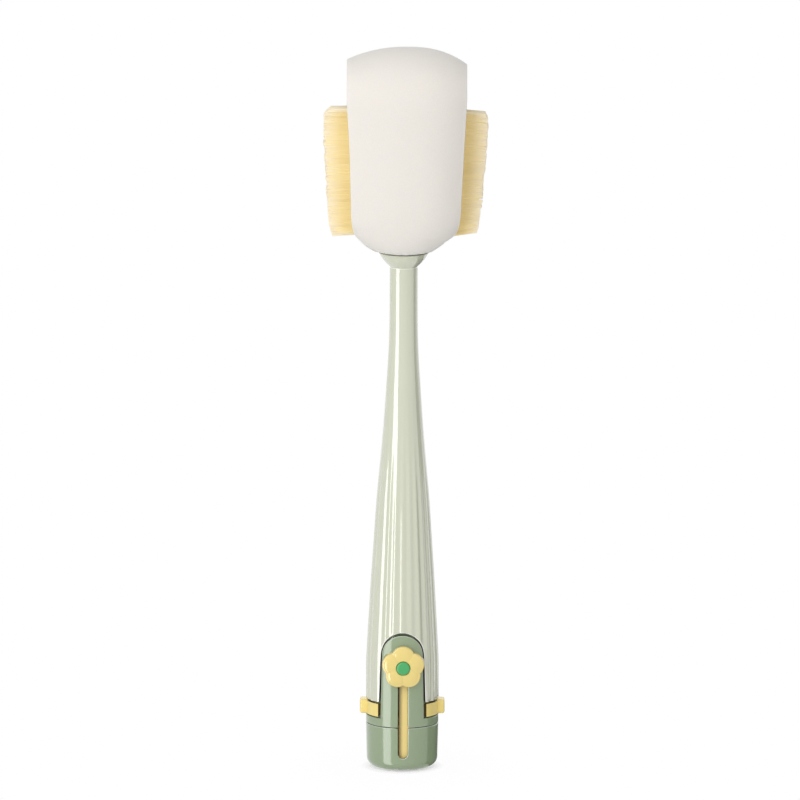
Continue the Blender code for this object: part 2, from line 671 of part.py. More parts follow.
def make_spigot_seal(finish, carrier):
    """Soft ring in the groove near the spigot's top."""
    outer = handle_bore(GROOVE_TOP) - GAP
    inner = handle_bore(GROOVE_BOTTOM) - SEAL_GROOVE_DEPTH
    middle = (outer + inner) / 2
    half_width = (outer - inner) / 2
    outline = [
        (middle + half_width * math.cos(turn), SEAL_HEIGHT / 2 * math.sin(turn))
        for turn in np.arange(6) * math.tau / 6
    ]
    height = (GROOVE_BOTTOM + GROOVE_TOP) / 2
    return place("spigot_seal", turned(outline, SEAL_STEPS, ring=True), finish, (0, 0, height), carrier=carrier)


def make_base_cup(finish, carrier):
    """Cup with a rounded foot, the slot's lower end, a groove for the spine and the small brush's mouth."""
    fillet = arc((CUP_FOOT_RADIUS - CUP_FILLET, CUP_FILLET), CUP_FILLET, FRONT, 0, 5)
    inner_fillet = CUP_FILLET - CUP_WALL
    hollow = arc(
        (CUP_FOOT_RADIUS - CUP_WALL - inner_fillet, CUP_FLOOR + inner_fillet), inner_fillet, 0, FRONT, 3,
    )
    outline = [(0, 0)] + fillet + [(CUP_TOP_RADIUS, CUP_HEIGHT), (CUP_BORE, CUP_HEIGHT)] + hollow + [(0, CUP_FLOOR)]
    cup = place("base_cup", turned(outline, CUP_STEPS), finish, carrier=carrier)
    boolean(cup, "DIFFERENCE", slot_cutter("cup_slot_cutter", carrier))
    mouth = rectangle(MOUTH_HALF_WIDTH, -SPINE_FRONT - SLIDE_GAP, -CHANNEL_BACK)
    mesh = extruded(mouth, -OVERRUN, CUP_FLOOR + OVERRUN, "Z")
    boolean(cup, "DIFFERENCE", tool_object("mouth_cutter", mesh, carrier=carrier))
    groove = rectangle(SPINE_HALF_WIDTH + SLIDE_GAP, -SPINE_FRONT - SLIDE_GAP, -SLAB_FRONT)
    mesh = extruded(groove, CUP_FLOOR, CUP_HEIGHT + OVERRUN, "Z")
    boolean(cup, "DIFFERENCE", tool_object("spine_groove_cutter", mesh, carrier=carrier))
    return cup


def make_grip_ring(finish, carrier):
    """Band between base and handle, open at the tongue, with an ear on each side."""
    band = [
        (RING_INNER, RING_BOTTOM), (RING_OUTER, RING_BOTTOM), (RING_OUTER, RING_TOP), (RING_INNER, RING_TOP),
    ]
    ring = place("grip_ring", turned(band, CUP_STEPS, ring=True), finish, carrier=carrier)
    for side in (-1, 1):
        root = side * (RING_INNER + RING_WALL / 2)
        end = side * (RING_OUTER + EAR_REACH)
        plan = [(root, -EAR_HALF_DEPTH), (end, -EAR_HALF_DEPTH), (end, EAR_HALF_DEPTH), (root, EAR_HALF_DEPTH)]
        ear = tool_object("ear_shape", extruded(plan, RING_BOTTOM, RING_TOP, "Z"), carrier=carrier)
        rounding = ear.modifiers.new("rounding", "BEVEL")
        rounding.width = EAR_BEVEL
        rounding.segments = 2
        boolean(ring, "UNION", ear)
    opening = rectangle(TONGUE_FOOT_HALF_WIDTH + NOTCH_GAP, -RING_OUTER - OVERRUN, -RING_INNER / 2)
    mesh = extruded(opening, RING_BOTTOM - OVERRUN, RING_TOP + OVERRUN, "Z")
    boolean(ring, "DIFFERENCE", tool_object("ring_opening_cutter", mesh, carrier=carrier))
    return ring


def make_straw_wire(finish, carrier):
    """Twisted wire: an oblong section that turns as it rises from the boss."""
    turns = WIRE_LENGTH / WIRE_PITCH
    steps = round(turns * WIRE_STEPS_PER_TURN)
    corners = (
        (WIRE_HALF_WIDTH, 0), (0, WIRE_HALF_THICKNESS), (-WIRE_HALF_WIDTH, 0), (0, -WIRE_HALF_THICKNESS),
    )
    rings = []
    for step in range(steps + 1):
        twist = math.tau * step / WIRE_STEPS_PER_TURN
        height = WIRE_LENGTH * step / steps
        rings.append([
            (a * math.cos(twist) - b * math.sin(twist), a * math.sin(twist) + b * math.cos(twist), height)
            for a, b in corners
        ])
    return place("straw_wire", lofted(rings, twisted=True), finish, (0, 0, WIRE_FOOT), carrier=carrier)


def make_straw_bristles(finish, carrier):
    """Sleeve on the wire with a bristle on every second cell round it."""
    bore = WIRE_HALF_WIDTH + GAP
    sleeve = bore + STRAW_SLEEVE_WALL
    bm = bmesh.new()

    def ring(radius, height):
        turns = np.arange(STRAW_COLUMNS) * math.tau / STRAW_COLUMNS
        return [bm.verts.new((radius * math.cos(a), radius * math.sin(a), height)) for a in turns]

    rows = [ring(sleeve, height) for height in np.linspace(0, STRAW_LENGTH, STRAW_ROWS + 1)]
    inside = [ring(bore, height) for height in (STRAW_LENGTH, 0)]
    for low, high in zip([rows[-1], inside[0], inside[1]], [inside[0], inside[1], rows[0]]):
        for here in range(STRAW_COLUMNS):
            after = (here + 1) % STRAW_COLUMNS
            bm.faces.new((low[here], low[after], high[after], high[here]))
    for row in range(STRAW_ROWS):
        for column in range(STRAW_COLUMNS):
            after = (column + 1) % STRAW_COLUMNS
            root = (rows[row][column], rows[row][after], rows[row + 1][after], rows[row + 1][column])
            if (row + column) % 2:
                bm.faces.new(root)
                continue
            middle = sum((vert.co for vert in root), root[0].co * 0) / 4
            outward = middle.copy()
            outward.z = 0
            push = outward.normalized() * (STRAW_RADIUS - outward.length)
            tip = [bm.verts.new(middle + push + (vert.co - middle) * STRAW_TIP_SHARE) for vert in root]
            bm.faces.new(tip)
            for here in range(4):
                bm.faces.new((root[here], root[(here + 1) % 4], tip[(here + 1) % 4], tip[here]))
    return place("straw_bristles", finish_mesh(bm), finish, (0, 0, STRAW_FOOT), carrier=carrier)


def make_brush_carrier(finish, carrier):
    """Slab with the spine that shows in the slot and the stem that the button is screwed to."""
    plan = [
        (-CARRIER_HALF_WIDTH, -SLAB_BACK), (-CARRIER_HALF_WIDTH, -SLAB_FRONT),
        (-SPINE_HALF_WIDTH, -SLAB_FRONT), (-SPINE_HALF_WIDTH, -SPINE_FRONT),
        (SPINE_HALF_WIDTH, -SPINE_FRONT), (SPINE_HALF_WIDTH, -SLAB_FRONT),
        (CARRIER_HALF_WIDTH, -SLAB_FRONT), (CARRIER_HALF_WIDTH, -SLAB_BACK),
    ]
    piece = place("brush_carrier", extruded(plan, CARRIER_BOTTOM, CARRIER_TOP, "Z"), finish, carrier=carrier)
    outline = upright_slot(
        SLIDER_STEM_HALF_WIDTH, FLOWER_HEIGHT - STEM_HALF_HEIGHT, FLOWER_HEIGHT + STEM_HALF_HEIGHT,
    )
    stem = extruded(outline, -STEM_FRONT, -SLAB_FRONT, "Y")
    boolean(piece, "UNION", tool_object("stem_shape", stem, carrier=carrier))
    hole_end = SCREW_SEAT - SCREW_LENGTH - GAP
    hole = arc((0, FLOWER_HEIGHT), SCREW_HOLE, 0, math.tau, SMALL_STEPS)[:-1]
    mesh = extruded(hole, -STEM_FRONT - OVERRUN, -hole_end, "Y")
    boolean(piece, "DIFFERENCE", tool_object("screw_hole_cutter", mesh, carrier=carrier))
    return piece


def make_gap_bristles(finish, carrier):
    """The small brush on the back of the carrier."""
    mesh = bristled_slab(
        GAP_COLUMNS, GAP_ROWS, GAP_PLATE_HALF_WIDTH, GAP_BRUSH_LENGTH, GAP_PLATE_THICKNESS,
        lambda column, row: GAP_BRUSH_REACH, BRISTLE_TIP_SHARE,
    )
    return place("gap_bristles", mesh, finish, (0, -GAP_PLATE_FRONT, CARRIER_BOTTOM), carrier=carrier)


def flower_outline():
    """Five round petals about the origin, one straight up, with a sharp notch between two."""
    half_pitch = math.pi / PETAL_COUNT
    side = PETAL_OFFSET * math.sin(half_pitch)
    notch = PETAL_OFFSET * math.cos(half_pitch) + math.sqrt(PETAL_RADIUS ** 2 - side ** 2)
    spread = math.atan2(notch * math.sin(half_pitch), notch * math.cos(half_pitch) - PETAL_OFFSET)
    points = []
    for petal in range(PETAL_COUNT):
        turn = math.pi / 2 + petal * 2 * half_pitch
        centre = (PETAL_OFFSET * math.cos(turn), PETAL_OFFSET * math.sin(turn))
        points += arc(centre, PETAL_RADIUS, turn - spread, turn + spread, PETAL_STEPS)[:-1]
    return points


def make_flower_button(finish, carrier):
    """Flower plate whose back is hollowed to the housing's round front."""
    outline = [(x, z + FLOWER_HEIGHT) for x, z in flower_outline()]
    plate = extruded(outline, -BUTTON_FRONT, -SLAB_FRONT, "Y")
    button = place("flower_button", plate, finish, carrier=carrier)
    rounding = button.modifiers.new("rounding", "BEVEL")
    rounding.width = PETAL_BEVEL
    rounding.segments = 2
    rounding.limit_method = "ANGLE"
    rounding.angle_limit = math.radians(60)
    reach = PETAL_OFFSET + PETAL_RADIUS + OVERRUN
    low, high = FLOWER_HEIGHT - reach, FLOWER_HEIGHT + reach
    face = [(0, low), (BUTTON_BACK, low), (BUTTON_BACK, high), (0, high)]
    boolean(button, "DIFFERENCE", tool_object("button_back_cutter", turned(face, CUP_STEPS), carrier=carrier))
    stem_room = SLIDER_STEM_HALF_WIDTH + GAP
    room = upright_slot(
        stem_room, FLOWER_HEIGHT - STEM_HALF_HEIGHT - GAP, FLOWER_HEIGHT + STEM_HALF_HEIGHT + GAP,
    )
    cuts = (
        (room, SLAB_FRONT, STEM_FRONT + GAP),
        (arc((0, FLOWER_HEIGHT), SCREW_HOLE, 0, math.tau, SMALL_STEPS)[:-1], STEM_FRONT, CAP_SEAT),
        (arc((0, FLOWER_HEIGHT), SCREW_HEAD_RADIUS + GAP, 0, math.tau, SMALL_STEPS)[:-1],
         SCREW_SEAT, BUTTON_FRONT),
        (arc((0, FLOWER_HEIGHT), CENTRE_RADIUS + GAP, 0, math.tau, SMALL_STEPS)[:-1],
         CAP_SEAT, BUTTON_FRONT + OVERRUN),
    )
    for shape, back, front in cuts:
        mesh = extruded(shape, -front, -back, "Y")
        boolean(button, "DIFFERENCE", tool_object("button_pocket_cutter", mesh, carrier=carrier))
    return button


def make_flower_centre(finish, carrier):
    """Domed cap in the middle of the flower."""
    rise = CENTRE_THICKNESS
    outline = [(0, 0), (CENTRE_RADIUS, 0), (CENTRE_RADIUS, rise)]
    for turn in np.linspace(0, math.pi / 2, 4)[1:-1]:
        outline.append((CENTRE_RADIUS * math.cos(turn), rise + CENTRE_DOME * math.sin(turn)))
    outline.append((0, rise + CENTRE_DOME))
    at = (0, -CAP_SEAT - GAP, FLOWER_HEIGHT)
    return place("flower_centre", turned(outline, SMALL_STEPS), finish, at, (math.pi / 2, 0, 0), carrier)


def make_button_screw(finish, carrier):
    """Pan-head screw from the flower into the carrier's stem."""
    head = HEAD_POCKET_DEPTH - 2 * GAP
    outline = [
        (0, -SCREW_LENGTH + GAP), (SCREW_SHAFT_RADIUS, -SCREW_LENGTH + GAP), (SCREW_SHAFT_RADIUS, 0),
        (SCREW_HEAD_RADIUS, 0), (SCREW_HEAD_RADIUS, head / 2), (SCREW_HEAD_RADIUS - head / 2, head), (0, head),
    ]
    at = (0, -SCREW_SEAT - GAP, FLOWER_HEIGHT)
    return place("button_screw", turned(outline, SMALL_STEPS), finish, at, (math.pi / 2, 0, 0), carrier)


def main():
    """Build the whole brush."""
    clear_scene()
    pale_green = material("pale_green_plastic", (0.62, 0.65, 0.52), 0.35)
    green = material("sage_plastic", (0.30, 0.39, 0.24), 0.35)
    yellow = material("yellow_plastic", (0.82, 0.62, 0.22), 0.35)
    dot_green = material("bright_green_plastic", (0.07, 0.42, 0.13), 0.4)
    white_foam = material("white_foam", (0.85, 0.82, 0.78), 0.9)
    straw_nylon = material("straw_nylon", (0.84, 0.72, 0.42), 0.6)
    white_nylon = material("white_nylon", (0.85, 0.85, 0.83), 0.5)
    steel = material("steel", (0.6, 0.6, 0.6), 0.3, 1.0)
    rubber = material("grey_rubber", (0.5, 0.5, 0.48), 0.8)

    make_handle_shell(pale_green)
    make_head_collar(pale_green)
    make_head_core(yellow)
    make_side_bristles(straw_nylon)
    make_foam_pad(white_foam)

    base = axis_empty("base_pull_axis", (0, 0, HANDLE_BOTTOM))
    make_slide_housing(green, base)
    make_spigot_seal(rubber, base)
    make_base_cup(green, base)
    make_grip_ring(yellow, base)
    make_straw_wire(steel, base)
    make_straw_bristles(white_nylon, base)

    slider = axis_empty("brush_slide_axis", (0, -STEM_FRONT, FLOWER_HEIGHT))
    make_brush_carrier(yellow, slider)
    make_gap_bristles(straw_nylon, slider)
    make_flower_button(yellow, slider)
    make_flower_centre(dot_green, slider)
    make_button_screw(steel, slider)
    print("slide travel", round(SLIDE_TRAVEL, 5), "base travel", round(BASE_TRAVEL, 5))


main()
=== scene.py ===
"""Looks of a bottle brush with a folded foam head, two bristle blocks and a pull-out base.

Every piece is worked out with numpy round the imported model, in metres, with +Z up
and the flower button towards -Y. A turn of zero faces the front.
"""

import math

import bpy
import numpy as np
from mathutils import Matrix, Vector


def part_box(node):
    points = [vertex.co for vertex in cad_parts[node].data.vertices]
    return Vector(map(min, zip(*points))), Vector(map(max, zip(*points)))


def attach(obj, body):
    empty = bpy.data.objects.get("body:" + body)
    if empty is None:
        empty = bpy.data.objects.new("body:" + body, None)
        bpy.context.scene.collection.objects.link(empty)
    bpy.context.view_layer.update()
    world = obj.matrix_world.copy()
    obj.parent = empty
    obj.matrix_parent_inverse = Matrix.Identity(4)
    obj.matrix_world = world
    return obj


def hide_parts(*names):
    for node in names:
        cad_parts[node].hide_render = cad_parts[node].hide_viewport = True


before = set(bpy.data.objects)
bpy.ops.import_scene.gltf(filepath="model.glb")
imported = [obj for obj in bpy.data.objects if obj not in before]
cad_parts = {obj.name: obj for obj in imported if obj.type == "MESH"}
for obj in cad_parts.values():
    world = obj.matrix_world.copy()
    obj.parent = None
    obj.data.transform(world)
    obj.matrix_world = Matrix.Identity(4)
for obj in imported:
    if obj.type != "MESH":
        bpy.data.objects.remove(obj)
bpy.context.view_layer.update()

bl_info = {
    "name": "Bottle Brush",
    "version": (1, 0, 0),
    "blender": (4, 5, 0),
    "location": "View3D > Sidebar > Bottle Brush",
    "description": "Finished pieces, materials and stage of a bottle brush",
    "category": "Add Mesh",
}


def span_of(node):
    """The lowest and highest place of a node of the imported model."""
    low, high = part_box(node)
    return low.z, high.z


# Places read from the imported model
HANDLE_LOW, HANDLE_HIGH = span_of("handle_shell")
GRIP_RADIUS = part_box("handle_shell")[1].x
COLLAR_LOW, COLLAR_HIGH = span_of("head_collar")
COLLAR_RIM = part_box("head_collar")[1].x
RING_LOW, RING_HIGH = span_of("grip_ring")
RING_MIDDLE = (RING_LOW + RING_HIGH) / 2
EAR_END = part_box("grip_ring")[1].x
FOAM_LOW = span_of("foam_pad")[0]
CORE_HALF_WIDTH, CORE_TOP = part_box("head_core")[1].x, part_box("head_core")[1].z
CORE_HALF_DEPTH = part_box("left_bristles")[1].y
BUTTON_FRONT = -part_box("flower_button")[0].y
DOT_LOW, DOT_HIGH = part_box("flower_centre")
GAP_LOW, GAP_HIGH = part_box("gap_bristles")
WIRE_LOW, WIRE_HIGH = span_of("straw_wire")
STRAW_LOW, STRAW_HIGH = span_of("straw_bristles")
CARRIER_LOW, CARRIER_HIGH = span_of("brush_carrier")
HOUSING_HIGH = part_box("slide_housing")[1].z
CUP_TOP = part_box("base_cup")[1].z
FLOWER_HEIGHT = (DOT_LOW.z + DOT_HIGH.z) / 2

# Gap between pieces that touch, and the shoulder that lies between the cup and the ring
SEAM = 0.0003
SHOULDER_LOW, SHOULDER_HIGH = CUP_TOP + SEAM, RING_LOW - SEAM

# Shares of the handle's height from its foot, and of its flare from neck to grip
TAPER_HEIGHT_SHARES = (0, 0.077, 0.136, 0.214, 0.283, 0.357, 0.46, 0.578, 0.666, 0.725, 0.774, 0.848, 1)
TAPER_FLARE_SHARES = (1, 1, 0.952, 0.865, 0.788, 0.692, 0.558, 0.356, 0.221, 0.144, 0.082, 0.019, 0)
BORE_HEIGHT_SHARES = (0, 0.283, 0.46, 0.666, 0.774)

# The foam from the collar to the fold: share of its height, reach to the left and to the
# right, share of its depth, and how far its section is an oval
FOAM_STATIONS = np.array([
    (0, 0.0074, 0.0074, 0.37, 1), (0.0215, 0.0088, 0.0088, 0.43, 1), (0.0285, 0.0126, 0.0124, 0.52, 1),
    (0.037, 0.0141, 0.0136, 0.60, 0.95), (0.061, 0.0171, 0.0163, 0.69, 0.80), (0.091, 0.0196, 0.0191, 0.765, 0.62),
    (0.131, 0.0219, 0.0225, 0.835, 0.42), (0.152, 0.0228, 0.0239, 0.863, 0.33), (0.240, 0.0242, 0.0258, 0.943, 0.06),
    (0.397, 0.0246, 0.0266, 0.993, 0), (0.714, 0.0253, 0.0278, 1, 0), (1, 0.0266, 0.0290, 1, 0),
]).T

# The side bristles from their lower to their upper end: share of the height, reach of the left and the right block
BRISTLE_STATIONS = np.array([
    (0, 0.0330, 0.0338), (0.03, 0.0338, 0.0344), (0.08, 0.0345, 0.0348), (0.2, 0.0353, 0.0355),
    (0.5, 0.0362, 0.0371), (0.7, 0.0371, 0.0380), (0.8, 0.0373, 0.0385), (0.93, 0.0373, 0.0388),
    (0.97, 0.0362, 0.0384), (1, 0.0342, 0.0372),
]).T

# Plastics: their colour, least and greatest roughness, depth of the skin, weight and index of the gloss over it
PLASTICS = {
    "pale_green_plastic": ("handle", 0.09, 0.14, 0.0000012, 1.0, 1.75),
    "sage_plastic": ("base", 0.11, 0.16, 0.0000012, 0.55, 1.5),
    "warm_yellow_plastic": ("yellow", 0.16, 0.22, 0.0000012, 0.9, 1.7),
    "ring_plastic": ("ring", 0.2, 0.28, 0.0000012, 0.0, 1.5),
    "slider_plastic": ("slider", 0.3, 0.4, 0.0000012, 0.0, 1.5),
    "bright_green_plastic": ("dot", 0.30, 0.42, 0.0000012, 0.1, 1.5),
    "grey_rubber": ("rubber", 0.6, 0.75, 0.00001, 0.0, 1.5),
}

# Bristles: the colour of their roots and tips, and their roughness
BRISTLES = {"yellow_nylon": ("straw", "straw_tip", 0.55), "white_nylon": ("nylon", "nylon", 0.4)}

# Lamps: turn from the front to the right, elevation, distance, width and height, power, and what doesn't see them
LAMPS = {
    "left_strip": (-50, 0, 1.3, (0.62, 2.6), 18, "visible_diffuse"),
    "left_key": (-38, 14, 1.5, (1.1, 1.6), 11.0, "visible_glossy"),
    "front_key": (14, 14, 1.5, (1.1, 1.6), 4.8, "visible_glossy"),
    "right_fill": (62, 15, 1.5, (0.9, 1.8), 0.55, None),
    "top_fill": (0, 75, 1.2, (1.2, 1.2), 2.6, None),
    "back_fill": (175, 25, 1.4, (1.0, 1.2), 2, None),
}

# Dark cards: share of the line that they cover, lower and upper edge, and their shades at places along Y
CARDS = {
    "upper_card": (0.42, -0.07, 0.55, ((0.04, 0.04), (0.155, 0.30), (0.22, 0.80))),
    "lower_card": (1.0, -0.40, -0.07, ((0.04, 0.03), (0.50, 0.05))),
}


# ---------------------------------------------------------------- sizes and colours


def length(name, description, default):
    """A size in metres that a user may change."""
    return bpy.props.FloatProperty(
        name=name, description=description, default=default, min=0, precision=5, unit="LENGTH", subtype="DISTANCE",
    )


def colour(name, description, default):
    """A colour that a user may change."""
    return bpy.props.FloatVectorProperty(
        name=name, description=description, default=default, min=0, max=1, size=3, subtype="COLOR",
    )


class BrushSizes(bpy.types.PropertyGroup):
    """Sizes of the finished pieces."""

    neck_radius: length("Neck radius", "Radius of the handle below the collar", 0.0065)
    handle_wall: length("Handle wall", "Thickness of the handle's wall", 0.0019)
    flute_depth: length("Flute depth", "How far the grooves of the handle go in", 0.00045)
    flute_count: bpy.props.IntProperty(name="Flutes", description="Grooves round the handle", default=24, min=6)
    rim: length("Rim rounding", "Radius that rounds the edges of the moulded pieces", 0.00035)
    handle_rim: length("Handle rim rounding", "Radius that rounds the edges of the handle", 0.00048)
    notch_gap: length("Notch gap", "Gap between the tongue and the handle", 0.00070)
    tongue_half_width: length("Tongue half width", "Half the width of the tongue at its arch", 0.00965)
    tongue_foot: length("Tongue foot", "Half the width of the tongue at its foot", 0.0102)
    tongue_spring: length("Tongue spring", "Height at which the tongue's arch starts", 0.0551)
    tongue_wall: length("Tongue wall", "Thickness of the tongue", 0.0024)
    slot_half_width: length("Slot half width", "Half the width of the slot", 0.00242)
    slot_shift: length("Slot shift", "How far the slot lies to the right of the middle", 0.0004)
    slot_low: length("Slot end", "Height of the slot's lower end", 0.0065)
    slot_high: length("Slot top", "Height of the slot's upper end", 0.0537)
    cup_radius: length("Cup foot radius", "Radius of the cup above its rounded foot", 0.0165)
    cup_fillet: length("Cup fillet", "Radius of the cup's rounded foot", 0.0047)
    cup_wall: length("Cup wall", "Thickness of the cup's wall", 0.0015)
    mouth_half_width: length("Mouth half width", "Half the width of the small brush's mouth", 0.0068)
    mouth_front: length("Mouth front", "How far forward the mouth reaches beside the slider", 0.0113)
    spine_front: length("Slider front", "How far forward the slider's strip reaches", 0.0140)
    spine_half_width: length("Slider half width", "Half the width of the slider's strip", 0.0032)
    mouth_back: length("Mouth back", "Where the mouth ends behind the small brush", 0.0014)
    ring_wall: length("Ring wall", "Thickness of the yellow grip ring", 0.0020)
    petal_radius: length("Petal radius", "Radius of each petal of the button", 0.0055)
    petal_offset: length("Petal offset", "Distance of a petal's centre from the middle", 0.0045)
    petal_rim: length("Petal rounding", "Radius that rounds the flower's edge", 0.0010)
    petal_dome: length("Petal dome", "How far a petal's face falls from its middle to its edge", 0.0014)
    dot_radius: length("Dot radius", "Radius of the green dot in the flower", 0.00312)
    foam_rim: length("Foam rounding", "Radius that rounds the foam's cut edges", 0.0006)
    bristle_radius: length("Bristle radius", "Radius of a side bristle", 0.00023)
    straw_bristle_radius: length("Straw bristle radius", "Radius of a straw brush bristle", 0.00006)


class BrushColours(bpy.types.PropertyGroup):
    """Colours of the finishes."""

    handle: colour("Handle", "Pale green plastic of the handle and collar", (0.600, 0.622, 0.480))
    base: colour("Base", "Sage green plastic of the base", (0.282, 0.362, 0.220))
    yellow: colour("Yellow", "Warm yellow plastic of the button and the head's core", (0.820, 0.640, 0.180))
    # Painted light: the ring is the button's yellow plastic, painted lighter.
    ring: colour("Ring", "Yellow plastic of the grip ring", (0.900, 0.725, 0.250))
    # Painted light: the strip is the button's yellow plastic, painted lighter to make up for the shade in the slot.
    slider: colour("Slider", "Yellow plastic of the strip in the slot", (1.0, 0.780, 0.300))
    dot: colour("Dot", "Green plastic in the middle of the flower", (0.062, 0.400, 0.128))
    rubber: colour("Rubber", "Grey rubber of the seal", (0.50, 0.50, 0.48))
    foam: colour("Foam", "White foam of the head", (0.800, 0.765, 0.715))
    straw: colour("Straw", "Yellow bristles", (0.890, 0.725, 0.360))
    # On the side blocks this colour also gives the painted highlight near their outline.
    straw_tip: colour("Straw tip", "Bristles near their tips", (0.940, 0.850, 0.660))
    nylon: colour("Nylon", "White bristles of the straw brush", (0.800, 0.800, 0.780))


# ---------------------------------------------------------------- curves and grids


def smooth_curve(at, places, values):
    """Monotone cubic curve through the points (places, values), worked out at every entry of at."""
    places, values = np.asarray(places, float), np.asarray(values, float)
    step = np.diff(places)
    slope = np.diff(values) / step
    tangent = np.concatenate(([slope[0]], (slope[1:] + slope[:-1]) / 2, [slope[-1]]))
    turning = np.concatenate(([False], slope[1:] * slope[:-1] <= 0, [False]))
    tangent[turning] = 0
    limit = 3 * np.minimum(np.abs(np.append(slope, slope[-1])), np.abs(np.insert(slope, 0, slope[0])))
    tangent = np.clip(tangent, -limit, limit)
    at = np.clip(at, places[0], places[-1])
    cell = np.clip(np.searchsorted(places, at, side="right") - 1, 0, len(step) - 1)
    share = (at - places[cell]) / step[cell]
    rise_low, rise_high = tangent[cell] * step[cell], tangent[cell + 1] * step[cell]
    return (
        (2 * share**3 - 3 * share**2 + 1) * values[cell] + (share**3 - 2 * share**2 + share) * rise_low
        + (3 * share**2 - 2 * share**3) * values[cell + 1] + (share**3 - share**2) * rise_high
    )


def smooth_step(at, low, high):
    """Rises from zero at low to one at high along 3 s squared - 2 s cubed."""
    share = np.clip((at - low) / (high - low), 0, 1)
    return share * share * (3 - 2 * share)


def height_share(height):
    """Share of the handle's height from its foot."""
    return (height - HANDLE_LOW) / (HANDLE_HIGH - HANDLE_LOW)


def handle_radius(height):
    """Radius of the handle's round face at a height: neck radius plus its share of the flare."""
    neck = bpy.context.scene.brush_sizes.neck_radius
    return neck + smooth_curve(height_share(height), TAPER_HEIGHT_SHARES, TAPER_FLARE_SHARES) * (GRIP_RADIUS - neck)


def handle_bore(height):
    """Radius of the handle's hollow at a height: its flare in a few straight lines, less the wall."""
    sizes = bpy.context.scene.brush_sizes
    flare = np.interp(BORE_HEIGHT_SHARES, TAPER_HEIGHT_SHARES, TAPER_FLARE_SHARES)
    share = np.interp(height_share(height), BORE_HEIGHT_SHARES, flare)
    return sizes.neck_radius + share * (GRIP_RADIUS - sizes.neck_radius) - sizes.handle_wall


def circle_turns(steps):
    """Even turns round a circle."""
    return np.arange(steps) * math.tau / steps


def round_face(turn, radius, height):
    """The point (r sin a, -r cos a, z) for the turn a, the radius r and the height z."""
    turn, radius, height = np.broadcast_arrays(turn, radius, height)
    return np.stack([radius * np.sin(turn), -radius * np.cos(turn), height], axis=-1)


def grid_faces(rows, columns, closed=False, start=0):
    """Quads between the rows of a grid of points, whose columns close into a ring where asked."""
    here = np.arange(columns if closed else columns - 1)
    after = (here + 1) % columns
    row = np.arange(rows - 1)[:, None] * columns + start
    quads = np.stack([row + here, row + after, row + columns + after, row + columns + here], axis=-1)
    return quads.reshape(-1, 4)


def fan_faces(ring, pole):
    """Triangles from a closed ring of point numbers to one pole."""
    return np.stack([ring, np.roll(ring, -1), np.full(len(ring), pole)], axis=-1)


def volume(points, faces):
    """Signed volume inside the faces: a sixth of the sum of each triangle's triple product."""
    total = 0
    for group in faces:
        for corner in range(1, group.shape[1] - 1):
            a, b, c = points[group[:, 0]], points[group[:, corner]], points[group[:, corner + 1]]
            total += np.einsum("ij,ij->i", a, np.cross(b, c)).sum() / 6
    return total


def outward(points, faces):
    """The closed surface with its faces pointing out."""
    if volume(points, faces) < 0:
        faces = [group[:, ::-1] for group in faces]
    return points, faces


def join(*parts):
    """One (points, faces) pair out of several."""
    points, faces, start = [], [], 0
    for piece_points, piece_faces in parts:
        points.append(piece_points)
        faces += [group + start for group in piece_faces]
        start += len(piece_points)
    return np.vstack(points), faces


def tube(rings, poles=None):
    """A closed surface over rings of points, shut at each end by a pole or else by one flat face."""
    rows, columns = rings.shape[:2]
    first = np.arange(columns)
    last = first + (rows - 1) * columns
    points, faces = rings.reshape(-1, 3), [grid_faces(rows, columns, closed=True)]
    if poles is None:
        return outward(points, [*faces, first[None, ::-1], last[None]])
    ends = [fan_faces(first[::-1], rows * columns), fan_faces(last, rows * columns + 1)]
    return outward(np.vstack([points, poles]), [*faces, *ends])


def prism(plan, low, high):
    """A prism over a convex plan, from low to high."""
    return tube(np.stack([np.column_stack([plan, np.full(len(plan), z)]) for z in (low, high)]))


def turned_rings(profile, steps):
    """For each point of the profile (radius r, height z), the ring (r cos a, r sin a, z) over the turns a."""
    profile, turn = np.asarray(profile, float), circle_turns(steps)
    return np.stack([
        profile[:, :1] * np.cos(turn), profile[:, :1] * np.sin(turn), np.repeat(profile[:, 1:], steps, axis=1),
    ], axis=-1)


def revolved(profile, steps=128):
    """A closed surface of revolution about Z, whose profile starts and ends in poles on the axis."""
    return tube(turned_rings(profile[1:-1], steps), [(0, 0, profile[0][1]), (0, 0, profile[-1][1])])


def rounded_profile(corners, radii, steps=4):
    """A profile through the corners, each rounded by an arc of its own radius.

    The arc is set out as a quadratic curve between the points where it leaves the two sides.
    """
    corners = np.asarray(corners, float)
    result = [corners[:1]]
    for here in range(1, len(corners) - 1):
        point, radius = corners[here], radii[here]
        if radius == 0:
            result.append(point[None])
            continue
        sides = [corners[here + way] - point for way in (-1, 1)]
        reach = min(radius, *(np.linalg.norm(side) / 2 for side in sides))
        start, end = (point + side / np.linalg.norm(side) * reach for side in sides)
        share = np.linspace(0, 1, steps + 1)[:, None]
        result.append((1 - share) ** 2 * start + 2 * share * (1 - share) * point + share**2 * end)
    return np.vstack([*result, corners[-1:]])


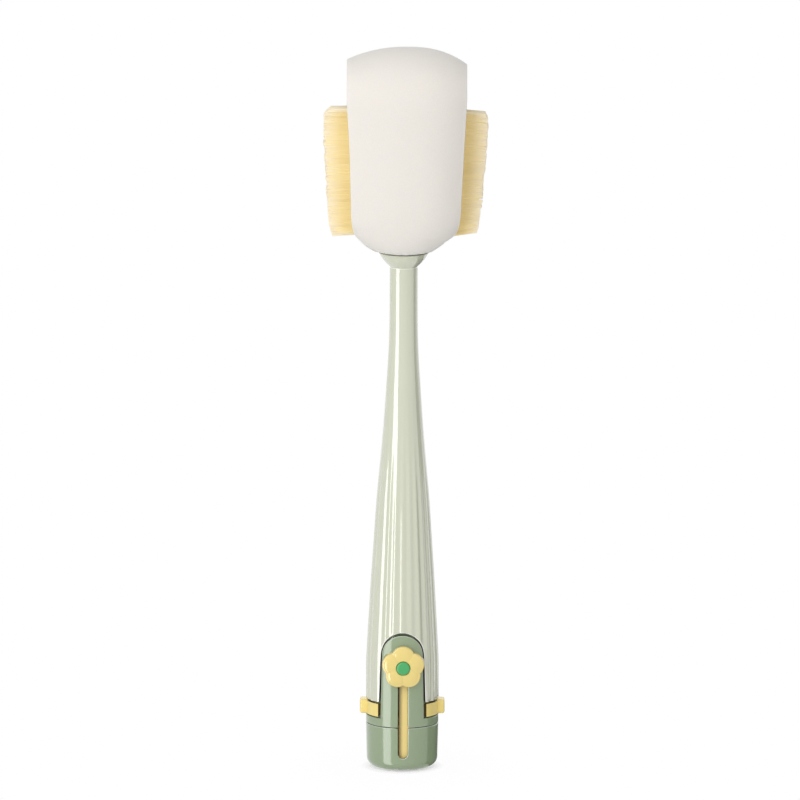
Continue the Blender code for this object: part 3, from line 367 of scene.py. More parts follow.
def rimmed_shell(outer, inner, normals, faces, rims, lip, steps=4):
    """A closed shell between an outer and an inner sheet, with rounded rims.

    Each rim is a ring of point numbers along an edge of the outer sheet. With the tangent t
    along it and the surface's normal n, b = t x n points off the edge. The rim passes
    through p + lip (sin(a) b - (1 - cos(a)) n) for a from 0 to a quarter turn, runs straight
    to the inner sheet's depth, and joins the inner sheet there. The third value marks the
    rounded part of the rims with one and the depth of the gap beside them with minus one;
    the materials paint a highlight where it is one and shade where it is minus one.
    """
    count = len(outer)
    points, marks = [outer, inner], [np.zeros(2 * count)]
    groups = [*faces, *(group[:, ::-1] + count for group in faces)]
    start = 2 * count
    for ring in rims:
        edge, normal = outer[ring], normals[ring]
        tangent = np.roll(edge, -1, axis=0) - np.roll(edge, 1, axis=0)
        off = np.cross(tangent, normal)
        off /= np.linalg.norm(off, axis=1)[:, None]
        turns = np.linspace(0, math.pi / 2, steps + 1)[1:]
        rows = [edge + lip * (math.sin(a) * off - (1 - math.cos(a)) * normal) for a in turns]
        depth = np.einsum("ij,ij->i", edge - inner[ring], normal)[:, None]
        rows.append(edge + lip * off - (depth - lip / 2) * normal)
        rows.append(edge + lip * off / 2 - depth * normal)
        span = len(ring)
        numbers = [ring]
        for number, row in enumerate(rows):
            points.append(row)
            marks.append(np.full(span, 1.0 if number < steps / 2 else -1.0))
            numbers.append(np.arange(span) + start)
            start += span
        numbers.append(ring + count)
        for low, high in zip(numbers, numbers[1:]):
            groups.append(np.stack([low, high, np.roll(high, -1), np.roll(low, -1)], axis=-1))
    return *outward(np.vstack(points), groups), np.concatenate(marks)


def strands(roots, tips, radius, sag, sides=4, rings=4, tip_share=0.6):
    """Many tapered bristles in one surface, and the share along its bristle of each point.

    The bristle's line is root + s (tip - root) + 4 s (1 - s) sag, for s from 0 to 1. Round
    it lies a ring of points at the radius, which shrinks to tip_share at the tip.
    """
    count = len(roots)
    share = np.linspace(0, 1, rings)[None, :, None]
    line = roots[:, None] + share * (tips - roots)[:, None] + 4 * share * (1 - share) * sag[:, None]
    way = tips - roots
    way /= np.linalg.norm(way, axis=1)[:, None]
    helper = np.where(np.abs(way[:, 2:]) > 0.9, [[1.0, 0, 0]], [[0, 0, 1.0]])
    side = np.cross(way, helper)
    side /= np.linalg.norm(side, axis=1)[:, None]
    up = np.cross(side, way)
    turn = circle_turns(sides)[None, :, None]
    circle = side[:, None] * np.cos(turn) + up[:, None] * np.sin(turn)
    thin = radius * (1 - (1 - tip_share) * share[..., None])
    points = (line[:, :, None] + thin * circle[:, None]).reshape(-1, 3)
    start = np.arange(count)[:, None] * rings * sides
    quads = (grid_faces(rings, sides, closed=True)[None] + start[:, None]).reshape(-1, 4)
    ends = [start + np.arange(sides)[::-1], start + (rings - 1) * sides + np.arange(sides)]
    along = np.tile(np.repeat(np.linspace(0, 1, rings), sides), count)
    return *outward(points, [quads, *ends]), along


def new_object(name, data):
    """An object with the data, in the scene."""
    made = bpy.data.objects.new(name, data)
    bpy.context.scene.collection.objects.link(made)
    return made


def make_piece(name, surface, finish, body, slot, nodes, sharp=None, marks=None):
    """A finished piece: its mesh, smooth shading, material, body and the nodes it stands for. The slot argument is not
    used.

    Edges that turn by more than sharp degrees stay crisp. marks holds values for each of the first points.
    """
    points, faces = surface
    loops = np.concatenate([group.ravel() for group in faces])
    sizes = np.concatenate([np.full(len(group), group.shape[1]) for group in faces])
    mesh = bpy.data.meshes.new(name)
    mesh.vertices.add(len(points))
    mesh.vertices.foreach_set("co", points.astype(np.float32).ravel())
    mesh.loops.add(len(loops))
    mesh.loops.foreach_set("vertex_index", loops.astype(np.int32))
    mesh.polygons.add(len(sizes))
    mesh.polygons.foreach_set("loop_start", np.concatenate(([0], np.cumsum(sizes)[:-1])).astype(np.int32))
    mesh.update(calc_edges=True)
    mesh.validate()
    for label, values in (marks or {}).items():
        values = np.append(values, np.zeros(len(points) - len(values)))
        mesh.attributes.new(label, "FLOAT", "POINT").data.foreach_set("value", values.astype(np.float32))
    mesh.shade_smooth()
    if sharp is not None:
        mesh.set_sharp_from_angle(angle=math.radians(sharp))
    mesh.materials.append(finish)
    piece = new_object(name, mesh)
    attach(piece, body)
    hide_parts(*nodes)
    return piece


def bristle_piece(name, roots, tips, radius, sag, finish, dice, place, block=None, paling=None, **shape):
    """A finished piece of bristles, with a block among them where one is given.

    Every bristle gets its own shade. paling turns the points and their share along the
    bristle into how pale they are.
    """
    points, faces, along = strands(roots, tips, radius, sag, **shape)
    shade = np.repeat(dice.uniform(0, 1, len(roots)), len(points) // len(roots))
    surface = join((points, faces), block) if block else (points, faces)
    marks = {"along": paling(points, along) if paling else along, "strand": shade}
    make_piece(name, surface, bristles(finish), *place, 60, marks)


def carve(piece, tool):
    """Cuts the tool's form out of the piece."""
    mesh = bpy.data.meshes.new("tool")
    mesh.from_pydata(tool[0].tolist(), [], [face for group in tool[1] for face in group.tolist()])
    cutter = new_object("tool", mesh)
    cut = piece.modifiers.new("cut", "BOOLEAN")
    cut.operation = "DIFFERENCE"
    cut.solver = "EXACT"
    cut.object = cutter
    bpy.context.view_layer.update()
    made = bpy.data.meshes.new_from_object(piece.evaluated_get(bpy.context.evaluated_depsgraph_get()))
    piece.modifiers.remove(cut)
    old, piece.data = piece.data, made
    name = old.name
    bpy.data.meshes.remove(old)
    made.name = name
    bpy.data.objects.remove(cutter)
    bpy.data.meshes.remove(mesh)


# ---------------------------------------------------------------- materials


def feed(tree, node, **inputs):
    """Sets the node's inputs, given by name or as at0, at1 and so on, or links them where a socket is given."""
    for name, value in inputs.items():
        socket = node.inputs[int(name[2:]) if name.startswith("at") else name.replace("_", " ")]
        if isinstance(value, bpy.types.NodeSocket):
            tree.links.new(value, socket)
        elif socket.type == "RGBA":
            socket.default_value = (*value[:3], 1)
        else:
            socket.default_value = value
    return node


def node_at(tree, kind, **inputs):
    """A node of the kind with its inputs fed."""
    return feed(tree, tree.nodes.new("ShaderNode" + kind), **inputs)


def maths(tree, operation, first, second):
    """The result of a sum on two values."""
    node = node_at(tree, "Math", at0=first, at1=second)
    node.operation = operation
    return node.outputs[0]


def mixed(tree, share, first, second):
    """The first colour where share is 0 and the second where it is 1."""
    node = tree.nodes.new("ShaderNodeMix")
    node.data_type = "RGBA"
    return feed(tree, node, at0=share, at6=first, at7=second).outputs[2]


def scaled(tree, value, low, high, start=0, end=1):
    """The value from start to end mapped to low to high."""
    return node_at(
        tree, "MapRange", Value=value, To_Min=low, To_Max=high, From_Min=start, From_Max=end,
    ).outputs["Result"]


def graded(tree, value, stops):
    """The grey that the stops (place, shade) give to the value."""
    fade = node_at(tree, "ValToRGB", Fac=value)
    ramp = fade.color_ramp.elements
    for number, (place, shade) in enumerate(stops):
        stop = ramp[number] if number < len(ramp) else ramp.new(place)
        stop.position, stop.color = place, (shade, shade, shade, 1)
    return fade.outputs["Color"]


def noise(tree, scale, detail):
    """Cloudy noise fixed to the piece."""
    return node_at(tree, "TexNoise", Vector=place_on(tree), Scale=scale, Detail=detail).outputs["Fac"]


def place_on(tree):
    """The place on the piece."""
    return tree.nodes.new("ShaderNodeTexCoord").outputs["Object"]


def marked(tree, name):
    """The marks that the mesh holds under the name."""
    node = tree.nodes.new("ShaderNodeAttribute")
    node.attribute_name = name
    return node.outputs["Fac"]


def bump(tree, height, depth, strength):
    """The normal over a skin of the depth."""
    return node_at(tree, "Bump", Height=height, Distance=depth, Strength=strength).outputs["Normal"]


def new_group(name, outputs, **inputs):
    """A shader node group with its inputs' starting values, and its two end nodes."""
    group = bpy.data.node_groups.new(name, "ShaderNodeTree")
    for label, default in inputs.items():
        kind = "NodeSocketColor" if isinstance(default, tuple) else "NodeSocketFloat"
        group.interface.new_socket(name=label, in_out="INPUT", socket_type=kind).default_value = default
    for label in outputs:
        kind = "NodeSocketColor" if label == "Colour" else "NodeSocketFloat"
        group.interface.new_socket(name=label, in_out="OUTPUT", socket_type=kind)
    return group, group.nodes.new("NodeGroupInput").outputs, group.nodes.new("NodeGroupOutput")


def moulded_group():
    """Moulded plastic: a faint cloudy tint, a roughness that wanders and a fine skin."""
    group, source, result = new_group(
        "moulded_skin", ("Colour", "Roughness", "Height"),
        Colour=(0.5, 0.5, 0.5, 1), Shade=(0.4, 0.4, 0.4, 1), Smooth=0.28, Rough=0.38,
    )
    feed(
        group, result, Colour=mixed(group, noise(group, 70.0, 3.0), source["Colour"], source["Shade"]),
        Roughness=scaled(group, noise(group, 420.0, 4.0), source["Smooth"], source["Rough"]),
        Height=noise(group, 3800.0, 2.0),
    )
    return group


def foam_group():
    """Open foam: small cells with pits painted darker as painted shade, and a soft uneven surface."""
    group, source, result = new_group(
        "foam_cells", ("Colour", "Height"), Colour=(0.9, 0.9, 0.9, 1), Pit=(0.8, 0.8, 0.8, 1),
    )
    cells = node_at(group, "TexVoronoi", Vector=place_on(group), Scale=1900.0).outputs["Distance"]
    pits = scaled(group, maths(group, "MULTIPLY", cells, noise(group, 1100.0, 4.0)), 0, 1, 0.05, 0.40)
    feed(group, result, Colour=mixed(group, pits, source["Pit"], source["Colour"]), Height=pits)
    return group


def bristle_group():
    """Bristles: every strand a little lighter or darker, and paler towards its tip."""
    group, source, result = new_group(
        "bristle_streaks", ("Colour",), Root=(0.8, 0.6, 0.3, 1), Tip=(0.9, 0.8, 0.6, 1), Dark=(0.6, 0.4, 0.2, 1),
    )
    shade = mixed(group, scaled(group, marked(group, "strand"), 0.0, 0.05), source["Root"], source["Dark"])
    feed(group, result, Colour=mixed(group, marked(group, "along"), shade, source["Tip"]))
    return group


GROUPS = {}
GROUP_MAKERS = {"moulded_skin": moulded_group, "foam_cells": foam_group, "bristle_streaks": bristle_group}


def effect(tree, name, **inputs):
    """The outputs of the shared effect, with values of its own. It is built the first time it is asked for."""
    if name not in GROUPS:
        GROUPS[name] = GROUP_MAKERS[name]()
    node = tree.nodes.new("ShaderNodeGroup")
    node.node_tree = GROUPS[name]
    return feed(tree, node, **inputs).outputs


def new_material(name):
    """A material with its node tree and its Principled shader."""
    finish = bpy.data.materials.new(name)
    finish.use_nodes = True
    return finish, finish.node_tree, finish.node_tree.nodes["Principled BSDF"]


def palette(name):
    """A colour of the scene."""
    return tuple(getattr(bpy.context.scene.brush_colours, name))


def darker(colour, share):
    """The share of a colour's light."""
    return tuple(share * channel for channel in colour)


def plastic(name):
    """Moulded plastic with a faint skin under its gloss. Its marked edges get a painted highlight, paler, and its
    marked gaps painted shade, darker.
    """
    if name in bpy.data.materials:
        return bpy.data.materials[name]
    label, smooth, rough, depth, coat, coat_index = PLASTICS[name]
    own = palette(label)
    finish, tree, shader = new_material(name)
    skin = effect(tree, "moulded_skin", Colour=own, Shade=darker(own, 0.975), Smooth=smooth, Rough=rough)
    lip = marked(tree, "lip")
    # Painted highlight: positive lip marks turn the colour paler.
    lit = mixed(tree, lip, skin["Colour"], tuple(1 - 0.1 * (1 - channel) for channel in own))
    # Painted shade: negative lip marks turn the colour down to 6 percent of itself.
    feed(
        tree, shader, Base_Color=mixed(tree, maths(tree, "MULTIPLY", lip, -1), lit, darker(own, 0.06)),
        Roughness=skin["Roughness"], Normal=bump(tree, skin["Height"], depth, 0.6), IOR=1.5,
        Coat_Weight=coat, Coat_Roughness=0.06, Coat_IOR=coat_index,
    )
    return finish


def foam_finish():
    """White open-cell foam."""
    finish, tree, shader = new_material("white_foam")
    own = palette("foam")
    cells = effect(tree, "foam_cells", Colour=own, Pit=darker(own, 0.97))
    feed(
        tree, shader, Base_Color=cells["Colour"], Normal=bump(tree, cells["Height"], 0.00004, 0.4), Roughness=0.9,
        Specular_IOR_Level=0.2, Subsurface_Weight=0.6, Subsurface_Scale=0.006, Subsurface_Radius=(1, 0.9, 0.8),
        Sheen_Weight=0.35, Sheen_Roughness=0.6,
    )
    return finish


def bristles(name):
    """Bristles whose colour changes from strand to strand and from root to tip."""
    if name in bpy.data.materials:
        return bpy.data.materials[name]
    root, tip, roughness = BRISTLES[name]
    finish, tree, shader = new_material(name)
    root = palette(root)
    streaks = effect(tree, "bristle_streaks", Root=root, Tip=palette(tip), Dark=darker(root, 0.72))
    feed(tree, shader, Base_Color=streaks["Colour"], Roughness=roughness)
    return finish


def steel():
    """Drawn stainless steel with fine marks."""
    if "drawn_steel" in bpy.data.materials:
        return bpy.data.materials["drawn_steel"]
    finish, tree, shader = new_material("drawn_steel")
    skin = effect(tree, "moulded_skin", Colour=(0.62, 0.62, 0.61), Shade=(0.50, 0.50, 0.50), Smooth=0.20, Rough=0.34)
    feed(
        tree, shader, Base_Color=skin["Colour"], Roughness=skin["Roughness"], Metallic=1.0,
        Normal=bump(tree, skin["Height"], 0.000008, 0.5),
    )
    return finish


# ---------------------------------------------------------------- outlines


def arch_chart(half_width, foot_half_width, low, spring, side_steps, arch_steps):
    """The tongue's outline from its right foot over the arch to its left foot, as (across, height).

    The sides run straight from the foot to the spring, and the arch is half a circle.
    """
    share = np.linspace(0, 1, side_steps, endpoint=False)[:, None]
    right = (1 - share) * [foot_half_width, low] + share * [half_width, spring]
    turn = np.linspace(0, math.pi, arch_steps + 1)
    arch = np.stack([half_width * np.cos(turn), spring + half_width * np.sin(turn)], axis=-1)
    return np.vstack([right, arch, right[::-1] * [-1, 1]])


def flower_outline(radius, offset, petals, steps):
    """Round petals about the origin, the first one straight up, that meet in sharp notches."""
    half_pitch = math.pi / petals
    side = offset * math.sin(half_pitch)
    notch = offset * math.cos(half_pitch) + math.sqrt(radius**2 - side**2)
    spread = math.atan2(notch * math.sin(half_pitch), notch * math.cos(half_pitch) - offset)
    turn = math.pi / 2 + np.arange(petals)[:, None] * 2 * half_pitch
    sweep = turn + np.linspace(-spread, spread, steps, endpoint=False)[None]
    x = offset * np.cos(turn) + radius * np.cos(sweep)
    z = offset * np.sin(turn) + radius * np.sin(sweep)
    return np.stack([x.ravel(), z.ravel()], axis=-1)


def box_plan(half_width, back, front, shift=0):
    """The corners of a rectangle between a back and a front edge."""
    left, right = shift - half_width, shift + half_width
    return [(left, back), (right, back), (right, front), (left, front)]


# ---------------------------------------------------------------- operators


class PieceOperator:
    """What the operators of the pieces share."""

    bl_options = {"REGISTER", "UNDO"}

    @property
    def sizes(self):
        return bpy.context.scene.brush_sizes


class BRUSH_OT_handle(PieceOperator, bpy.types.Operator):
    """Make the fluted handle with its arched notch"""

    bl_idname = "brush.handle"
    bl_label = "Handle"

    def execute(self, context):
        """The shell, and a plug that closes its bore below the neck."""
        plug_low, plug_high = 0.2162, 0.2192
        bore = float(handle_bore(plug_low)) + self.sizes.handle_wall / 2
        plug = revolved([(0, plug_low), (bore, plug_low), (bore, plug_high), (0, plug_high)])
        points, faces, lip = self.shell()
        # The lip marks paint a highlight on the rounded rims and shade deep in the notch's gap.
        make_piece(
            "handle", join((points, faces), plug), plastic("pale_green_plastic"), "handle", "handle_plastic",
            ["handle_shell"], 50, {"lip": lip},
        )
        return {"FINISHED"}

    def fluted(self, turn, height):
        """The face at r = taper(z) - flute depth ((1 - cos(n a)) / 2) to the power 0.8, fading up the handle."""
        fade_start, fade_end, power = 0.40, 0.74, 0.8
        fade = 1 - smooth_step(height_share(height), fade_start, fade_end)
        radius = handle_radius(height)
        wave = (1 - np.cos(self.sizes.flute_count * turn)) / 2
        groove = self.sizes.flute_depth * fade * (radius / GRIP_RADIUS) * wave**power
        return round_face(turn, radius - groove, height)

    def shell(self):
        """The fluted face on a grid of turns and heights.

        Columns in front start on the notch's arch, the others run down beside the notch.
        """
        sizes = self.sizes
        rim, spring = sizes.handle_rim, sizes.tongue_spring
        low = HANDLE_LOW + rim
        half, foot = (own + sizes.notch_gap + rim for own in (sizes.tongue_half_width, sizes.tongue_foot))
        front_steps, back_steps, upper_rows, side_rows, row_crowding = 84, 300, 100, 24, 1.15
        sweep = np.linspace(-math.pi / 2, math.pi / 2, front_steps + 1)
        front_turn = np.arcsin(half * np.sin(sweep) / GRIP_RADIUS)
        front_start = spring + (half + sizes.notch_gap / 2) * np.cos(sweep)
        back_turn = np.linspace(front_turn[-1], math.tau - front_turn[-1], back_steps + 1)
        turn = np.concatenate([front_turn, back_turn[1:-1]])
        start = np.concatenate([front_start, np.full(back_steps - 1, spring)])
        height = start + np.linspace(0, 1, upper_rows)[:, None] ** row_crowding * (HANDLE_HIGH - start)
        upper = self.fluted(turn, height)
        columns, width = len(turn), back_steps + 1

        side_share = np.linspace(0, 1, side_rows, endpoint=False)[:, None]
        side_turn = np.arcsin((foot + side_share * (half - foot)) / GRIP_RADIUS)
        lower_turn = side_turn + np.linspace(0, 1, width) * (math.tau - 2 * side_turn)
        lower = self.fluted(lower_turn, low + side_share * (spring - low))

        points = np.vstack([upper.reshape(-1, 3), lower.reshape(-1, 3)])
        turns = np.concatenate([np.broadcast_to(turn, height.shape).ravel(), lower_turn.ravel()])
        first = upper_rows * columns
        shared = np.append(np.arange(front_steps, columns), 0)
        last_row = first + (side_rows - 1) * width + np.arange(width)
        faces = [
            grid_faces(upper_rows, columns, closed=True),
            grid_faces(side_rows, width, start=first),
            np.stack([last_row[:-1], last_row[1:], shared[1:], shared[:-1]], axis=-1),
        ]
        right = first + np.arange(side_rows) * width
        mouth = np.concatenate([
            right[::-1], first + np.arange(1, back_steps), right + back_steps, np.arange(front_steps + 1),
        ])
        top = first - columns + np.arange(columns)[::-1]
        inner = round_face(turns, handle_bore(points[:, 2]), points[:, 2])
        return rimmed_shell(points, inner, round_face(turns, 1, 0), faces, [mouth, top], rim)


class BRUSH_OT_collar(PieceOperator, bpy.types.Operator):
    """Make the collar that holds the foam's gathered end"""

    bl_idname = "brush.collar"
    bl_label = "Collar"

    def execute(self, context):
        """A turned cup that flares from the neck to its rim, with a rounded edge."""
        neck, wall, drawn_in = self.sizes.neck_radius, 0.0018, 0.0013
        floor, seat, seat_radius = COLLAR_LOW + 0.0031, COLLAR_LOW - 0.00025, neck - 0.0010
        share = np.linspace(0, 1, 24)
        flare = smooth_curve(share, (0, 0.2, 0.5, 0.75, 1), (0, 0.27, 0.62, 0.84, 1))
        outside = np.stack([
            neck + flare * (COLLAR_RIM - drawn_in - neck), COLLAR_LOW + share * (COLLAR_HIGH - COLLAR_LOW),
        ], axis=-1)
        inside = outside[::-1] - [wall, 0]
        inside = inside[inside[:, 1] > floor]
        middle = (outside[-1] + inside[0]) / 2
        turn = np.linspace(0, math.pi, 8)[1:-1]
        edge = middle + np.stack([wall / 2 * np.cos(turn), wall / 4 * np.sin(turn)], axis=-1) - [0, wall / 4]
        profile = np.vstack([
            [(0, seat), (seat_radius, seat), (seat_radius, COLLAR_LOW)], outside[:-1], edge, inside[1:],
            [(inside[-1, 0], floor), (0, floor)],
        ])
        make_piece(
            "collar", revolved(profile), plastic("pale_green_plastic"), "handle", "handle_plastic",
            ["head_collar"], 40,
        )
        return {"FINISHED"}


class BRUSH_OT_foam(PieceOperator, bpy.types.Operator):
    """Make the white foam strip folded over the head"""

    bl_idname = "brush.foam"
    bl_label = "Foam"

    def execute(self, context):
        """A closed section across the strip, carried along its folded line.

        The section's outer face lies at depth - drop |u| to the power 2.2 on the left and 2.5 on
        the right, and turns into half an oval at the collar. Its inner face is flat. Its line
        rises in front of the core, turns over the top in half a circle and falls behind it.
        """
        depth, bend, left_drop, right_drop = 0.0232, 0.3160, 0.0056, 0.0076
        gathered, gathered_rows, straight_rows, arc_rows = 0.16, 26, 40, 34
        across_steps, rim_steps, side_steps, back_steps, crowding = 65, 5, 9, 17, 0.35
        rim, slot = self.sizes.foam_rim, CORE_HALF_DEPTH + 0.00005
        rise = np.append(
            np.linspace(0, gathered, gathered_rows, endpoint=False), np.linspace(gathered, 1, straight_rows),
        )
        arc = np.linspace(0, math.pi, arc_rows)[1:-1]
        share = np.concatenate([rise, np.ones(len(arc)), rise[::-1]])[:, None]
        turn = np.concatenate([np.zeros(len(rise)), arc, np.full(len(rise), math.pi)])[:, None]
        height = np.where((turn > 0) & (turn < math.pi), bend, FOAM_LOW + share * (bend - FOAM_LOW))
        left, right, deep, rounded = (smooth_curve(share, FOAM_STATIONS[0], own) for own in FOAM_STATIONS[1:])

        across = np.linspace(-1, 1, across_steps)
        across = np.sin(across * math.pi / 2) * crowding + across * (1 - crowding)
        centre, half = (right - left) / 2, (right + left) / 2
        fall = np.where(across < 0, left_drop * np.abs(across) ** 2.2, right_drop * np.abs(across) ** 2.5)
        oval = np.sqrt(np.clip(1 - across**2, 0, None))
        crown = (1 - rounded) * (1 - fall / depth) + rounded * oval
        face_x = centre + across * (half - rim)
        face_d = np.maximum(depth * deep * crown, slot + rim) + self.gathers(face_x, height, turn)
        corner = np.linspace(0, math.pi / 2, rim_steps)[1:]
        right_x = centre + half - rim + rim * np.sin(corner)
        right_d = face_d[:, -1:] - rim * (1 - np.cos(corner))
        left_x = centre - half + rim - rim * np.sin(corner[::-1])
        left_d = face_d[:, :1] - rim * (1 - np.cos(corner[::-1]))
        side = np.linspace(0, 1, side_steps)[1:-1]
        side_d = (1 - side) * right_d[:, -1:] + side * (slot + rim / 2)
        back = np.linspace(1, -1, back_steps)
        section_x = np.hstack([
            face_x, right_x, np.repeat(right_x[:, -1:], len(side), 1), centre + back * half,
            np.repeat(left_x[:, :1], len(side), 1), left_x,
        ])
        section_d = np.hstack([
            face_d, right_d, side_d, np.full((len(share), len(back)), slot), side_d[:, ::-1], left_d,
        ])
        inward = np.concatenate([
            np.zeros(len(across) + len(corner)), side, np.ones(len(back)), side[::-1], np.zeros(len(corner)),
        ])
        lift = inward * share * (CORE_TOP + SEAM - bend)
        rings = np.stack([
            section_x, -np.cos(turn) * section_d, height + section_d * np.sin(turn) + lift,
        ], axis=-1)
        pad = make_piece(
            "foam", tube(rings, [rings[0].mean(0), rings[-1].mean(0)]), foam_finish(), "handle", "foam",
            ["foam_pad"], 45,
        )
        return {"FINISHED"}

    def gathers(self, across, height, turn):
        """Soft waves of the outer face: long slow ones, and short pleats that fade above the collar."""
        wave, pleat, pleat_width = 0.00012, 0.0005, 0.00035
        along = height + 0.02 * turn
        slow = wave * np.sin(190 * across + 60 * along) * np.sin(95 * along + 1.3)
        fade = 1 - smooth_step(height, FOAM_LOW + 0.002, FOAM_LOW + 0.007)
        front = np.where(turn < math.pi / 2, 1.0, -1.0)
        pleats = wave * fade * (np.sin(1500 * across + 0.7 * front) + 0.6 * np.sin(2600 * across + 2 * front))
        for place, climb in ((-0.0009, 0.0050), (0.0008, 0.0030), (0.0026, 0.0036), (0.0104, 0.0040)):
            short = 1 - smooth_step(height, FOAM_LOW + 0.3 * climb, FOAM_LOW + climb)
            pleats -= pleat * short * np.exp(-(((across - place) / pleat_width) ** 2))
        return slow + pleats


class BRUSH_OT_side_bristles(PieceOperator, bpy.types.Operator):
    """Make the two blocks of yellow bristles"""

    bl_idname = "brush.side_bristles"
    bl_label = "Side bristles"

    def execute(self, context):
        """The left block, and the right one with its cleft."""
        self.block("left", -1, 11, BRISTLE_STATIONS[1], (0.2526, 0.2513), (0.3112, 0.3108))
        self.block("right", 1, 23, BRISTLE_STATIONS[2], (0.2502, 0.2530), (0.3108, 0.3086))
        return {"FINISHED"}

    def block(self, side, sign, seed, reach, low_end, high_end):
        """Bristles on a shaken grid over the core's edge, out to a ragged line.

        The tip line is a smooth curve over the block's height, plus a shake of each bristle
        and a wander that neighbours share. The ends are the heights of its roots and its tips.
        """
        rows, columns, bumps, shake, lean, ragged_out, ragged_in = 176, 24, 48, 0.22, 0.00008, 0.00012, 0.00040
        margin = self.sizes.bristle_radius
        (root_low, tip_low), (root_high, tip_high) = low_end, high_end
        dice = np.random.default_rng(seed)
        z_share, y_share = np.meshgrid(np.linspace(0, 1, rows), np.linspace(-1, 1, columns), indexing="ij")
        shaken = dice.uniform(-shake, shake, (2, rows, columns))
        z_share = np.clip(z_share + shaken[0] / rows, 0, 1)
        y_share = np.clip(y_share + 2 * shaken[1] / columns, -1, 1)
        z = root_low + z_share * (root_high - root_low)
        tip_z = tip_low + z_share * (tip_high - tip_low)
        y = y_share * (CORE_HALF_DEPTH - margin)
        wander = np.interp(z_share, np.linspace(0, 1, bumps), dice.uniform(-1, 1, bumps))
        rough = 0.15 + 0.85 * smooth_step(z_share, 0.18, 0.35) * (1 - smooth_step(z_share, 0.72, 0.9))
        if side == "right":
            rough = 0.35 + 0.65 * smooth_step(z_share, 0.1, 0.3)
        ragged = rough * (ragged_in * wander + dice.uniform(-ragged_in, ragged_out, z.shape))
        tip = smooth_curve(z_share, BRISTLE_STATIONS[0], reach) + ragged
        tip_z += dice.normal(0, lean, z.shape) * np.minimum(1, 16 * z_share * (1 - z_share))
        tip_y = np.clip(y + dice.normal(0, lean, z.shape), -0.0043, 0.0043)
        if side == "right":
            cleft_share, slant, parting, parting_reach, droop, droop_reach = 0.31, 0.194, 0.00055, 0.0020, 0.0022, 0.006
            cleft = (z_share - cleft_share) * (root_high - root_low) + slant * y
            tip_z += parting * np.sign(cleft) * np.exp(-np.abs(cleft) / parting_reach)
            tip_z -= droop * np.exp(-((cleft / droop_reach) ** 2))
        root = np.full(z.shape, sign * (CORE_HALF_WIDTH + 0.0008))
        roots = np.stack([root, y, z], axis=-1).reshape(-1, 3)
        tips = np.stack([sign * tip, tip_y, tip_z], axis=-1).reshape(-1, 3)
        sag = dice.normal(0, 0.00007, roots.shape) * [0, 1, 1]

        def paling(points, along):
            """Painted highlight: pale near the block's outline, where the tips catch the light."""
            height = np.clip((points[:, 2] - tip_low) / (tip_high - tip_low), 0, 1)
            edge = smooth_curve(height, BRISTLE_STATIONS[0], reach) - np.abs(points[:, 0])
            ends = np.minimum(points[:, 2] - min(low_end), max(high_end) - points[:, 2])
            return (1 - smooth_step(np.minimum(edge, ends), 0.0002, 0.0028)) * along**0.2

        bristle_piece(
            f"{side}_bristle_block", roots, tips, margin, sag, "yellow_nylon", dice,
            ("handle", "straw_bristle", [f"{side}_bristles"]), self.filling(sign, reach, low_end, high_end), paling,
            tip_share=0.9,
        )

    def filling(self, sign, reach, low_end, high_end):
        """The packed bristles under the outer ones: a block that ends short of their tips."""
        inset, short, steps = 0.00045, 0.0012, 40
        share = np.linspace(0, 1, steps)
        thin = 4 * inset * (1 - smooth_step(np.minimum(share, 1 - share), 0, 0.08))
        near = np.full(steps, CORE_HALF_WIDTH + SEAM)
        far = smooth_curve(share, BRISTLE_STATIONS[0], reach) - short - thin
        root = low_end[0] + inset + share * (high_end[0] - low_end[0] - 2 * inset)
        tip = low_end[1] + 2 * inset + share * (high_end[1] - low_end[1] - 4 * inset)
        half = CORE_HALF_DEPTH - 0.5 * inset
        x = sign * np.column_stack([near, far, far, near])
        y = np.tile([-half, -half, half, half], (steps, 1))
        return tube(np.stack([x, y, np.column_stack([root, tip, tip, root])], axis=-1))


